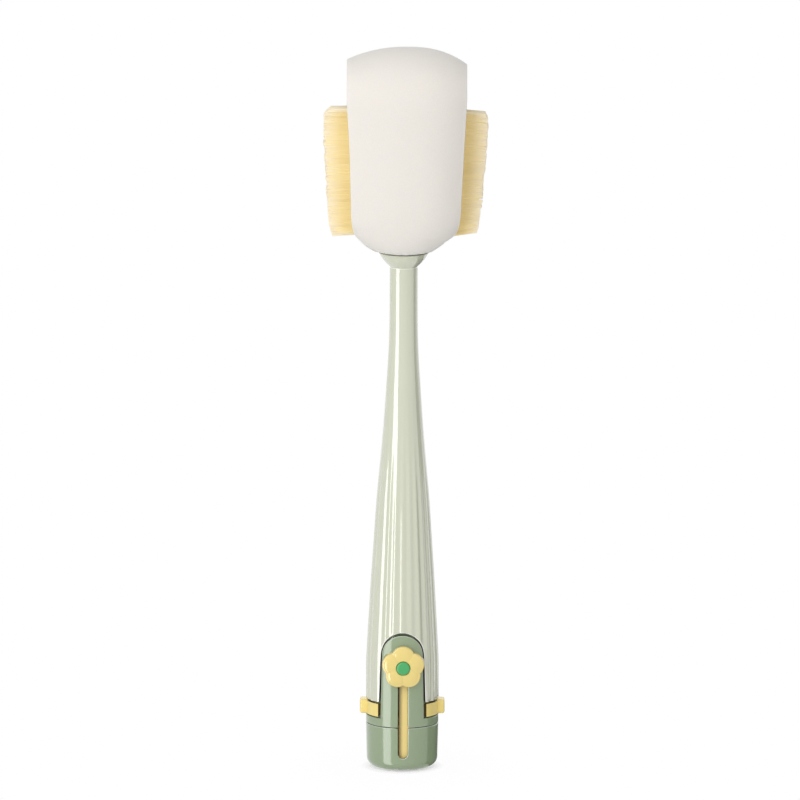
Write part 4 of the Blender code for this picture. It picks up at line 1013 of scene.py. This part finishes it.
class BRUSH_OT_housing(PieceOperator, bpy.types.Operator):
    """Make the sage housing: shoulder and tongue in one shell, and the spigot behind them"""

    bl_idname = "brush.housing"
    bl_label = "Slide housing"

    def execute(self, context):
        """The shell, with painted highlights on its rims, strongest on the slot's right, and painted shade in the gaps
        beside the tongue and on the slot's left.
        """
        sizes = self.sizes
        points, faces, lip = self.face()
        near_slot = np.abs(points[:, 0]) < sizes.slot_half_width + 3 * sizes.rim
        near_slot &= points[:, 2] < sizes.tongue_spring + 0.004
        right = near_slot & (points[:, 0] > sizes.slot_shift)
        raised = ~near_slot & (points[:, 2] > SHOULDER_HIGH)
        seam = ~near_slot & (points[:, 2] < SHOULDER_LOW + 2 * sizes.rim)
        # Painted highlight: how much paler each rim is painted. Painted shade: the gap walls beside the tongue and on
        # the slot's left are painted dark.
        pale = np.select([right, raised, seam], [0.55, 0.40, 0.25], 0)
        lip = np.where(lip > 0, lip * pale, lip * (raised | (near_slot & ~right)))
        make_piece(
            "housing_face", (points, faces), plastic("sage_plastic"), "base", "base_plastic",
            ["slide_housing"], 50, {"lip": lip},
        )
        self.spigot()
        return {"FINISHED"}

    def face(self):
        """Shoulder and tongue between a lower and an upper outline, joined by straight lines of the chart.

        The lower outline runs round the shoulder's foot and over the slot, the upper one
        round the shoulder's top and over the tongue's arch.
        """
        sizes, rim = self.sizes, self.sizes.rim
        side, arch, behind, rows = 40, 48, 150, 12
        half = sizes.slot_half_width + rim
        slot = arch_chart(half, half, SHOULDER_LOW + rim, sizes.slot_high + rim - half, side, arch)
        slot += [sizes.slot_shift, 0]
        wide, foot = sizes.tongue_half_width - rim, sizes.tongue_foot - rim
        tongue = arch_chart(wide, foot, SHOULDER_HIGH - rim, sizes.tongue_spring, side, arch)
        share = np.linspace(0, 1, rows)[:, None, None]
        chart = (1 - share) * slot[None] + share * tongue[None]
        radius = np.where(chart[..., 1] > HANDLE_LOW, handle_radius(chart[..., 1]), GRIP_RADIUS)
        front_turn = np.arcsin(chart[..., 0] / radius)
        round_behind = math.tau + front_turn[:, -1:] - front_turn[:, :1]
        back_turn = front_turn[:, :1] + np.linspace(0, 1, behind + 1)[1:-1] * round_behind
        back_height = SHOULDER_LOW + rim + share[:, :, 0] * (SHOULDER_HIGH - SHOULDER_LOW - 2 * rim)
        turn = np.hstack([front_turn, back_turn[:, ::-1]])
        height = np.hstack([chart[..., 1], np.repeat(back_height, behind - 1, 1)])
        around = np.hstack([radius, np.full((rows, behind - 1), GRIP_RADIUS)])
        points = round_face(turn, around, height).reshape(-1, 3)
        normals = round_face(turn, 1, 0).reshape(-1, 3)
        columns = turn.shape[1]
        sheet = grid_faces(rows, columns, closed=True)[:, ::-1]
        rims = [np.arange(columns)[::-1], np.arange(columns) + (rows - 1) * columns]
        return rimmed_shell(points, points - sizes.tongue_wall * normals, normals, [sheet], rims, rim)

    def spigot(self):
        """The turned spigot behind the tongue, cut by the slider's channel, the slot and the groove of the seam."""
        sizes = self.sizes
        foot, skirt, spigot, boss, hole = 0.0142, 0.0151, GRIP_RADIUS - 0.0022, 0.0034, 0.0012
        plate, boss_rise, groove, groove_rise, groove_width = 0.0042, 0.0045, 0.0016, 0.0014, 0.0017
        top = HOUSING_HIGH - boss_rise
        groove_low = top - plate + groove_rise
        groove_high = groove_low + groove_width
        at = [float(handle_bore(z)) - SEAM for z in (groove_low, groove_high, top)]
        corners = [
            (0, foot), (skirt, foot), (skirt, SHOULDER_LOW), (spigot, SHOULDER_LOW), (spigot, HANDLE_LOW),
            (at[0], groove_low), (at[0] - groove, groove_low), (at[0] - groove, groove_high), (at[1], groove_high),
            (at[2], top), (boss, top), (boss, HOUSING_HIGH), (hole, HOUSING_HIGH), (hole, top), (0, top),
        ]
        radii = [0, 0.0004, 0, 0, 0, 0.0002, 0.0002, 0.0002, 0.0002, 0.0008, 0.0006, 0.0005, 0.0002, 0, 0]
        piece = make_piece(
            "housing_spigot", revolved(rounded_profile(corners, radii)), plastic("sage_plastic"), "base",
            "base_plastic", ["slide_housing"], 40,
        )
        for half_width, back, front, shift, high in (
            (0.0067, -0.0014, -0.0133, 0, CARRIER_HIGH + SEAM),  # channel of the small brush
            (0.0035, -0.0120, -0.0149, 0, CARRIER_HIGH + SEAM),  # channel of the strip
            (0.0080, -0.0112, -0.0171, 0, SHOULDER_LOW),  # window behind the cup's front
            (sizes.slot_half_width, -0.0120, -0.0200, sizes.slot_shift, sizes.slot_high),  # slot
        ):
            carve(piece, prism(box_plan(half_width, back, front, shift), foot - 0.002, high))
        carve(piece, self.gutter())
        piece.data.shade_smooth()
        piece.data.set_sharp_from_angle(angle=math.radians(40))

    def gutter(self):
        """The groove round the tongue, which keeps its seam deep: a band along the tongue's outline."""
        sizes, front, back, low = self.sizes, -0.0200, -0.0128, HANDLE_LOW - 0.0005
        near, far = (
            arch_chart(sizes.tongue_half_width + grown, sizes.tongue_foot + grown, low, sizes.tongue_spring, 8, 48)
            for grown in (-0.0003, sizes.notch_gap + 0.0007)
        )
        return tube(np.stack([
            np.column_stack([line[:, 0], np.full(len(line), y), line[:, 1]])
            for line, y in ((near, front), (far, front), (far, back), (near, back))
        ], axis=1))


class BRUSH_OT_seal(PieceOperator, bpy.types.Operator):
    """Make the soft seal ring near the spigot's top"""

    bl_idname = "brush.seal"
    bl_label = "Seal"

    def execute(self, context):
        """A ring with a round section."""
        low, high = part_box("spigot_seal")
        width, steps = 0.00093, 128
        turn = circle_turns(24)
        rings = turned_rings(np.stack([
            high.x - width + width * np.cos(turn), (low.z + high.z) / 2 + (high.z - low.z) / 2 * np.sin(turn),
        ], axis=-1), steps)
        faces = grid_faces(len(rings) + 1, steps, closed=True) % (len(rings) * steps)
        surface = outward(rings.reshape(-1, 3), [faces])
        make_piece("seal", surface, plastic("grey_rubber"), "base", "seal_rubber", ["spigot_seal"])
        return {"FINISHED"}


class BRUSH_OT_cup(PieceOperator, bpy.types.Operator):
    """Make the base cup with its slot and the small brush's mouth"""

    bl_idname = "brush.cup"
    bl_label = "Base cup"

    def execute(self, context):
        """The cup's wall and floor between two outlines: the mouth in the floor and the rim with the slot.

        The chart is polar: a point's distance from the origin is its way along the cup's
        profile from the middle of the floor, over the fillet and up the wall.
        """
        sizes, rim = self.sizes, self.sizes.rim
        rows = 44
        inner_line, outer_line = self.outlines()
        columns = len(inner_line)
        share = np.linspace(0, 1, rows)[:, None, None]
        chart = (1 - share) * inner_line[None] + share * outer_line[None]
        points, normals = self.lay(chart.reshape(-1, 2))
        upright = 1 - smooth_step(np.repeat(share.ravel(), columns), 0.0, 0.25)[:, None]
        normals = (1 - upright) * normals + upright * [0, 0, -1]
        normals /= np.linalg.norm(normals, axis=1)[:, None]
        ring = np.arange(columns)
        points, faces, lip = rimmed_shell(
            points, points - sizes.cup_wall * normals, normals, [grid_faces(rows, columns, closed=True)],
            [ring, (ring + (rows - 1) * columns)[::-1]], rim,
        )
        x, y, z = points.T
        beside = np.abs(x) < sizes.slot_half_width + 3 * rim
        wall = (y < 0) & (z > sizes.cup_fillet)
        right = x > sizes.slot_shift - 0.001
        # Painted highlight on the top rim and the slot's right wall; painted shade on the slot's left wall and its
        # lower end.
        pale = np.select([(z > CUP_TOP - 2 * rim) & ~beside, beside & right & wall], [0.3, 0.55], 0)
        shaded = beside & (~right | (z < sizes.slot_low + 0.001)) & wall
        lip = np.where(lip > 0, lip * pale, lip * shaded)
        make_piece(
            "base_shell", (points, faces), plastic("sage_plastic"), "base", "base_plastic", ["base_cup"], 50,
            {"lip": lip},
        )
        return {"FINISHED"}

    def lay(self, chart):
        """The chart's point on the cup's outer face, and the normal there."""
        fillet, foot = self.sizes.cup_fillet, self.sizes.cup_radius
        flat = foot - fillet
        way = np.linalg.norm(chart, axis=-1)[:, None]
        angle = np.clip((way - flat) / fillet, 0, math.pi / 2)
        up = np.clip(way - flat - fillet * math.pi / 2, 0, None)
        flare = (GRIP_RADIUS - foot) * up / (CUP_TOP - fillet)
        radius = np.where(way < flat, way, flat + fillet * np.sin(angle)) + flare
        turn = chart / np.maximum(way, 1e-9)
        points = np.hstack([turn * radius, fillet * (1 - np.cos(angle)) + up])
        return points, np.hstack([turn * np.sin(angle), -np.cos(angle)])

    def outlines(self):
        """The mouth's outline and the rim's outline with the slot, with as many points each."""
        sizes, rim, fillet = self.sizes, self.sizes.rim, self.sizes.cup_fillet
        round_steps, side_steps, rim_steps = 16, 36, 80
        flat = sizes.cup_radius - fillet
        wall_way = flat + fillet * math.pi / 2
        reach = sizes.slot_half_width + rim
        slot_way = wall_way + sizes.slot_low - rim - fillet + sizes.slot_half_width + rim
        top_way = wall_way + CUP_TOP - fillet - rim
        sweep = np.linspace(0, math.pi / 2, round_steps + 1)
        front_turn = np.append(reach * np.sin(sweep), np.full(side_steps, reach)) / GRIP_RADIUS
        side_way = np.linspace(slot_way, top_way, side_steps + 1)[1:]
        rim_turn = np.linspace(math.asin(reach / GRIP_RADIUS), math.pi, rim_steps + 1)[1:]
        turn = np.append(front_turn, rim_turn)
        way = np.concatenate([slot_way - reach * np.cos(sweep), side_way, np.full(rim_steps, top_way)])
        outer_half = np.column_stack([way * np.sin(turn), -way * np.cos(turn)])

        half, front, back = sizes.mouth_half_width + rim, sizes.mouth_front + rim, sizes.mouth_back - rim
        bend, clear = 0.0009, 0.0002
        narrow, deep = sizes.spine_half_width + rim + clear, sizes.spine_front + rim + clear
        corners = rounded_profile(
            [(0, -deep), (narrow, -deep), (narrow, -front), (half, -front), (half, -back), (0, -back)],
            [0, bend / 2, bend / 2, bend, bend, 0], 6,
        )
        lengths = np.append(0, np.cumsum(np.linalg.norm(np.diff(corners, axis=0), axis=1)))
        beside = deep - front + half + (front - back) * 0.55
        steps = np.cumsum([0, round_steps, side_steps, rim_steps * 0.45])
        at = np.interp(
            np.arange(len(outer_half)), [*steps, len(outer_half) - 1],
            [0, narrow * 0.45, narrow * 0.85, beside, lengths[-1]],
        )
        inner_half = np.column_stack([np.interp(at, lengths, corners[:, axis]) for axis in (0, 1)])
        size = np.linalg.norm(inner_half, axis=1)
        beyond = np.clip(size - flat, 0, fillet)
        inner_half *= (np.where(size < flat, size, flat + fillet * np.arcsin(beyond / fillet)) / size)[:, None]

        inner_line, outer_line = (
            np.vstack([half_line, half_line[-2:0:-1] * [-1, 1]]) for half_line in (inner_half, outer_half)
        )
        shift = sizes.slot_shift * np.append(np.ones(round_steps + side_steps), np.linspace(1, 0, rim_steps + 1))
        angle = np.append(shift, shift[-2:0:-1]) / GRIP_RADIUS
        x, y = outer_line.T
        outer_line = np.column_stack([x * np.cos(angle) - y * np.sin(angle), x * np.sin(angle) + y * np.cos(angle)])
        return inner_line, outer_line


class BRUSH_OT_ring(PieceOperator, bpy.types.Operator):
    """Make the yellow grip ring, open at the tongue, with an ear on each side"""

    bl_idname = "brush.ring"
    bl_label = "Grip ring"

    def execute(self, context):
        """An open band on a grid of turns and heights, and two rounded blocks for the ears."""
        sizes, rim, wall, rows, columns = self.sizes, self.sizes.rim, self.sizes.ring_wall, 10, 221
        inner_radius = GRIP_RADIUS - sizes.handle_wall
        outer_radius = inner_radius + wall + 0.0001
        edge = math.asin((sizes.tongue_foot + sizes.notch_gap + rim) / outer_radius)
        turn = np.linspace(edge, math.tau - edge, columns)
        height = np.linspace(RING_LOW + rim, RING_HIGH - rim, rows)[:, None]
        points = round_face(turn, outer_radius, height).reshape(-1, 3)
        normals = round_face(turn, 1, 0 * height).reshape(-1, 3)
        across, up = np.arange(columns), np.arange(1, rows - 1) * columns
        ring = np.concatenate([across, up + columns - 1, (rows - 1) * columns + across[::-1], up[::-1]])
        points, faces, lip = rimmed_shell(
            points, points - wall * normals, normals, [grid_faces(rows, columns)], [ring[::-1]], rim,
        )
        ears = [self.ear(side, inner_radius + wall / 2) for side in (-1, 1)]
        # The lip marks paint a faint highlight on the band's rounded rims and dark shade on its ends and gaps.
        make_piece(
            "grip_band", join((points, faces), *ears), plastic("ring_plastic"), "base", "yellow_plastic",
            ["grip_ring"], 50, {"lip": np.where(lip > 0, 0.4 * lip, 0.9 * lip)},
        )
        return {"FINISHED"}

    def ear(self, side, root):
        """A block whose section is a superellipse in depth and height, drawn in at its outer end."""
        half_depth, half_height, end_round, power = 0.0040, (RING_HIGH - RING_LOW) / 2, 0.0010, 2 / 7
        reach = np.append(0, np.linspace(0.15, 1, 14))[:, None] * (EAR_END - root)
        drawn = np.clip((reach - (EAR_END - root - end_round)) / end_round, 0, 1)
        shrink = end_round * (1 - np.sqrt(np.clip(1 - drawn**2, 0, 1)))
        turn = circle_turns(96)
        unit_y, unit_z = (np.sign(wave) * np.abs(wave) ** power for wave in (np.cos(turn), np.sin(turn)))
        rings = np.stack(np.broadcast_arrays(
            side * (root + reach), (half_depth - shrink) * unit_y, RING_MIDDLE + (half_height - shrink) * unit_z,
        ), axis=-1)
        return tube(rings, [(side * root, 0, RING_MIDDLE), (side * EAR_END, 0, RING_MIDDLE)])


class BRUSH_OT_button(PieceOperator, bpy.types.Operator):
    """Make the flower button and the green dot in its middle"""

    bl_idname = "brush.button"
    bl_label = "Flower button"

    def execute(self, context):
        """Rings of the flower's outline from the middle to the edge, round the rim and back to the housing.

        Each petal is a dome: at the distance d from its centre the face has fallen by
        dome (d / r) to the power 2.2. On the rim the petals' radius is r - rim (1 - sin(a))
        at the depth rim (1 - cos(a)). The back follows the round face of the housing.
        """
        sizes = self.sizes
        radius, offset, rim, shift = sizes.petal_radius, sizes.petal_offset, sizes.petal_rim, sizes.slot_shift
        petals, steps, well, well_rim, deepest_seat = 5, 26, 0.0012, 0.0004, 0.0130
        dot = sizes.dot_radius + 0.00015
        flat = flower_outline(radius - rim, offset, petals, steps)
        middle_turn = np.repeat(math.pi / 2 + circle_turns(petals), steps)
        centre = offset * np.column_stack([np.cos(middle_turn), np.sin(middle_turn)])
        circle = flat / np.linalg.norm(flat, axis=1)[:, None]

        def dome(ring):
            """How far the petal's dome has fallen at each point of a ring."""
            return sizes.petal_dome * (np.linalg.norm(ring - centre, axis=1) / radius) ** 2.2

        rows = [(dot * share * circle, depth) for share, depth in ((0.2, well), (0.9, well), (1, well), (1, well_rim))]
        for step in np.linspace(0, 1, 15):
            ring = (1 - step) * (dot + 0.0002) * circle + step * flat
            rows.append((ring, dome(ring)))
        for turn in np.linspace(0, math.pi / 2, 8)[1:]:
            edge = flower_outline(radius - rim * (1 - math.sin(turn)), offset, petals, steps)
            rows.append((edge, dome(flat) + rim * (1 - math.cos(turn))))
        back_face = GRIP_RADIUS + SEAM
        for share in (1, 0.6, 0.2):
            ring = edge * share
            seat = np.sqrt(np.clip(back_face**2 - (ring[:, 0] + shift) ** 2, 0, None))
            rows.append((ring, BUTTON_FRONT - np.maximum(seat, deepest_seat)))
        place = np.array([shift, 0, FLOWER_HEIGHT])
        rings = np.stack([
            np.column_stack([ring[:, 0], depth - BUTTON_FRONT + np.zeros(len(ring)), ring[:, 1]])
            for ring, depth in rows
        ])
        poles = place + [(0, well - BUTTON_FRONT, 0), (0, -back_face, 0)]
        make_piece(
            "flower", tube(rings + place, poles), plastic("warm_yellow_plastic"), "slider", "yellow_plastic",
            ["flower_button"], 48,
        )
        self.dot()
        return {"FINISHED"}

    def dot(self):
        """A turned cap with a flat dome and a rounded edge."""
        radius, thick = self.sizes.dot_radius, DOT_HIGH.y - DOT_LOW.y
        corners = [(0, 0), (radius, 0), (radius, thick * 0.72), (radius * 0.80, thick * 0.95), (0, thick)]
        points, faces = revolved(rounded_profile(corners, [0, 0.0001, 0.0006, 0.0012, 0], 6), 64)
        x, z, y = points.T
        turned = np.column_stack([x + self.sizes.slot_shift, DOT_HIGH.y - y, z + FLOWER_HEIGHT])
        make_piece(
            "flower_dot", outward(turned, faces), plastic("bright_green_plastic"), "slider", "green_cap",
            ["flower_centre"], 40,
        )


class BRUSH_OT_gap_brush(PieceOperator, bpy.types.Operator):
    """Make the small brush behind the slider"""

    bl_idname = "brush.gap_brush"
    bl_label = "Small brush"

    def execute(self, context):
        """A plate with tufts on its back: each hole of a grid holds bristles that spread a little."""
        dice = np.random.default_rng(5)
        plate, margin, radius, each, half = 0.0012, 0.0010, 0.00011, 9, GAP_HIGH.x
        holes_x = np.linspace(-half + margin, half - margin, 7)
        holes_z = np.linspace(GAP_LOW.z + margin, GAP_HIGH.z - margin, 13)
        x, z = (np.repeat(value.ravel(), each) for value in np.meshgrid(holes_x, holes_z))
        number = np.tile(np.arange(each), len(x) // each)
        turn, spread = number * 2.4, np.sqrt((number + 0.5) / each)
        root_y = np.full(len(x), GAP_LOW.y + plate / 2)
        tip_y = GAP_HIGH.y - dice.uniform(0, 0.0003, len(x))
        roots, tips = (
            np.column_stack([x + reach * spread * np.cos(turn), y, z + reach * spread * np.sin(turn)])
            for reach, y in ((0.00038, root_y), (0.00072, tip_y))
        )
        slab = prism(box_plan(half, GAP_LOW.y, GAP_LOW.y + plate), GAP_LOW.z, GAP_HIGH.z)
        bristle_piece(
            "gap_brush", roots, tips, radius, np.zeros(roots.shape), "yellow_nylon", dice,
            ("slider", "straw_bristle", ["gap_bristles"]), slab, rings=3,
        )
        return {"FINISHED"}


class BRUSH_OT_straw_brush(PieceOperator, bpy.types.Operator):
    """Make the straw brush inside the handle"""

    bl_idname = "brush.straw_brush"
    bl_label = "Straw brush"

    def execute(self, context):
        """Two round wires wound about the axis, and bristles held between them in a rising spiral."""
        wire, pitch, steps, count = 0.00044, 0.0060, 420, 2600
        height = np.linspace(WIRE_LOW, WIRE_HIGH, steps)
        turn = circle_turns(12)[None, :, None]
        slope = math.tau * wire / pitch
        wires = []
        for phase in (0, math.pi):
            winding = math.tau * (height - WIRE_LOW) / pitch + phase
            out = np.column_stack([np.cos(winding), np.sin(winding), np.zeros(steps)])
            along = np.column_stack([-slope * np.sin(winding), slope * np.cos(winding), np.ones(steps)])
            along /= np.linalg.norm(along, axis=1)[:, None]
            centre = wire * out + np.outer(height, [0, 0, 1])
            ring = out[:, None] * np.cos(turn) + np.cross(along, out)[:, None] * np.sin(turn)
            wires.append(tube(centre[:, None] + wire * 0.97 * ring, [centre[0], centre[-1]]))
        make_piece("twisted_wire", join(*wires), steel(), "base", "steel", ["straw_wire"])

        dice = np.random.default_rng(31)
        rise = (np.arange(count) + 0.5) / count
        z = STRAW_LOW + 0.0003 + rise * (STRAW_HIGH - STRAW_LOW - 0.0006)
        turn = math.tau * (z - WIRE_LOW) / pitch + math.pi / 2 + dice.normal(0, 0.35, count)
        turn += math.pi * (np.arange(count) % 2)
        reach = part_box("straw_bristles")[1].x * (1 - 0.06 * dice.uniform(0, 1, count))
        taper = np.minimum(1, 0.55 + 0.45 * np.minimum(rise, 1 - rise) / 0.06)
        way = np.column_stack([np.cos(turn), np.sin(turn)])
        roots = np.column_stack([way * 0.0004, z])
        tips = np.column_stack([way * (reach * taper)[:, None], z + dice.normal(0, 0.0002, count)])
        bristle_piece(
            "straw_brush", roots, tips, self.sizes.straw_bristle_radius, np.zeros(roots.shape), "white_nylon", dice,
            ("base", "white_bristle", ["straw_bristles"]), sides=3, rings=3, tip_share=0.8,
        )
        return {"FINISHED"}


class BRUSH_OT_slider(PieceOperator, bpy.types.Operator):
    """Make the yellow strip that shows in the slot"""

    bl_idname = "brush.slider"
    bl_label = "Slider"

    def execute(self, context):
        """Two prisms: the strip behind the slot, with painted shade along its left edge, and the button's stem."""
        sizes = self.sizes
        left, right = sizes.slot_shift - sizes.slot_half_width + 0.00065, sizes.spine_half_width
        back, front, shaded = -0.0110, -sizes.spine_front, 0.0017
        plan = [(left, back), (right, back), (right, front), (left + shaded, front), (left, front)]
        strip = prism(plan, CARRIER_LOW, min(CARRIER_HIGH, sizes.slot_high - 0.0005))
        stem = box_plan(sizes.slot_half_width - 0.0005, -0.0138, -0.0175, sizes.slot_shift)
        surface = join(strip, prism(stem, FLOWER_HEIGHT - 0.0022, FLOWER_HEIGHT + 0.0012))
        # Painted shade: the strip's front corners on its left are marked dark.
        shade = np.zeros(2 * len(plan))
        shade[[len(plan) - 1, -1]] = -0.6
        make_piece(
            "slider", surface, plastic("slider_plastic"), "slider", "yellow_plastic", ["brush_carrier"], 30,
            {"lip": shade},
        )
        return {"FINISHED"}


class BRUSH_OT_kept_nodes(PieceOperator, bpy.types.Operator):
    """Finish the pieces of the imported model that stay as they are"""

    bl_idname = "brush.kept_nodes"
    bl_label = "Kept pieces"

    def execute(self, context):
        for node, finish in (("head_core", plastic("warm_yellow_plastic")), ("button_screw", steel())):
            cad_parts[node].data.materials[0] = finish
        return {"FINISHED"}


class BRUSH_OT_stage(bpy.types.Operator):
    """Make the floor, the lamps, the world and the camera"""

    bl_idname = "brush.stage"
    bl_label = "Stage"

    def execute(self, context):
        self.floor()
        self.world(context.scene)
        for name, setting in LAMPS.items():
            self.lamp(name, *setting)
        for name, setting in CARDS.items():
            self.card(name, *setting)
        self.camera(context.scene)
        context.scene.view_settings.view_transform = "Standard"
        return {"FINISHED"}

    def sheet(self, name, points, finish):
        """A flat piece of the stage."""
        mesh = bpy.data.meshes.new(name)
        mesh.from_pydata(points, [], [list(range(len(points)))])
        mesh.materials.append(finish)
        sheet = new_object(name, mesh)
        return sheet

    def blend(self, tree, share, first, second, output):
        """The first shader where share is 0 and the second where it is 1, as the output's surface."""
        mix = node_at(tree, "MixShader", at0=share, at1=first.outputs[0], at2=second.outputs[0])
        feed(tree, tree.nodes[output], Surface=mix.outputs[0])

    def floor(self):
        """A round white floor that the camera sees through from below and away from the foot's shadow."""
        finish, tree, shader = new_material("floor")
        feed(tree, shader, Base_Color=(0.86, 0.86, 0.86), Roughness=0.9)
        away = tree.nodes.new("ShaderNodeVectorMath")
        away.operation = "LENGTH"
        feed(tree, away, at0=place_on(tree))
        fade = graded(tree, away.outputs["Value"], ((0.0124, 0.45), (0.0180, 0.970), (0.06, 1.0)))
        thin = maths(tree, "MAXIMUM", node_at(tree, "NewGeometry").outputs["Backfacing"], fade)
        seen = maths(tree, "MULTIPLY", node_at(tree, "LightPath").outputs["Is Camera Ray"], thin)
        self.blend(tree, seen, shader, node_at(tree, "BsdfTransparent"), "Material Output")
        radius, turn = 4, circle_turns(96)
        points = np.column_stack([radius * np.cos(turn), radius * np.sin(turn), np.zeros(len(turn))])
        floor = self.sheet("floor", points.tolist(), finish)
        floor.location.z = -0.0002
        floor.visible_glossy = False
        floor.visible_shadow = False

    def world(self, scene):
        """White to the camera, in gloss and through glass, and a softer light on the rest."""
        world = scene.world = bpy.data.worlds.new("studio")
        world.use_nodes = True
        tree = world.node_tree
        light = feed(tree, tree.nodes["Background"], Color=(1, 1, 1), Strength=0.43)
        white = node_at(tree, "Background", Color=(1, 1, 1), Strength=1.0)
        path = node_at(tree, "LightPath").outputs
        seen = maths(tree, "ADD", path["Is Camera Ray"], path["Is Glossy Ray"])
        seen = maths(tree, "ADD", seen, path["Is Transmission Ray"])
        self.blend(tree, seen, light, white, "World Output")

    def lamp(self, name, azimuth, elevation, distance, size, power, unseen):
        """A soft rectangular lamp that looks at the brush's middle. Azimuth 0 is the front, 90 the right."""
        data = bpy.data.lights.new(name, "AREA")
        data.shape = "RECTANGLE"
        data.size, data.size_y = size
        data.energy = power
        lamp = new_object(name, data)
        turn, lift = math.radians(azimuth), math.radians(elevation)
        way = Vector((math.sin(turn) * math.cos(lift), -math.cos(turn) * math.cos(lift), math.sin(lift)))
        lamp.location = Vector((0, 0, 0.17)) + way * distance
        lamp.rotation_euler = way.to_track_quat("Z", "Y").to_euler()
        if unseen:
            setattr(lamp, unseen, False)

    def card(self, name, far, low, high, shades):
        """A dark card on the right, out of the camera's sight, that shades the right flank."""
        finish, tree, shader = new_material(name)
        back = node_at(tree, "SeparateXYZ", Vector=place_on(tree)).outputs["Y"]
        feed(tree, shader, Base_Color=graded(tree, back, shades))
        ends = [(0.60 - 0.40 * share, -0.02 + 0.57 * share) for share in (0, far)]
        corners = zip((*ends, *ends[::-1]), (low, low, high, high))
        self.sheet(name, [(x, y, z) for (x, y), z in corners], finish).visible_camera = False

    def camera(self, scene):
        """A long lens in front, 11 degrees up, turned a hair about its own line of sight."""
        lens, aim, rise, roll = 800, Vector((-0.00153, 0, 0.1732)), math.radians(11), math.radians(0.2)
        data = bpy.data.cameras.new("camera")
        data.lens = lens
        data.clip_end = 100
        camera = new_object("camera", data)
        way = Vector((0, -math.cos(rise), math.sin(rise)))
        look = way.to_track_quat("Z", "Y").to_matrix() @ Matrix.Rotation(roll, 3, "Z")
        camera.matrix_world = Matrix.Translation(aim + way * lens * 0.01031) @ look.to_4x4()
        scene.camera = camera


class BRUSH_PT_panel(bpy.types.Panel):
    """Sizes, colours and pieces of the brush"""

    bl_idname = "BRUSH_PT_panel"
    bl_label = "Bottle Brush"
    bl_space_type = "VIEW_3D"
    bl_region_type = "UI"
    bl_category = "Bottle Brush"

    def draw(self, context):
        for group in (context.scene.brush_sizes, context.scene.brush_colours):
            for label in group.bl_rna.properties.keys():
                if label not in ("rna_type", "name"):
                    self.layout.prop(group, label)
        for operator in OPERATORS:
            self.layout.operator(operator.bl_idname)


OPERATORS = (
    BRUSH_OT_handle, BRUSH_OT_collar, BRUSH_OT_foam, BRUSH_OT_side_bristles, BRUSH_OT_housing, BRUSH_OT_seal,
    BRUSH_OT_cup, BRUSH_OT_ring, BRUSH_OT_button, BRUSH_OT_gap_brush, BRUSH_OT_straw_brush, BRUSH_OT_slider,
    BRUSH_OT_kept_nodes, BRUSH_OT_stage,
)
CLASSES = (BrushSizes, BrushColours, *OPERATORS, BRUSH_PT_panel)


def register():
    for item in CLASSES:
        bpy.utils.register_class(item)
    bpy.types.Scene.brush_sizes = bpy.props.PointerProperty(type=BrushSizes)
    bpy.types.Scene.brush_colours = bpy.props.PointerProperty(type=BrushColours)


def unregister():
    del bpy.types.Scene.brush_colours
    del bpy.types.Scene.brush_sizes
    for item in reversed(CLASSES):
        bpy.utils.unregister_class(item)


def main():
    """Make every piece and the stage."""
    register()
    for operator in OPERATORS:
        getattr(bpy.ops.brush, operator.bl_idname.split(".")[1])()


if __name__ == "__main__":
    main()
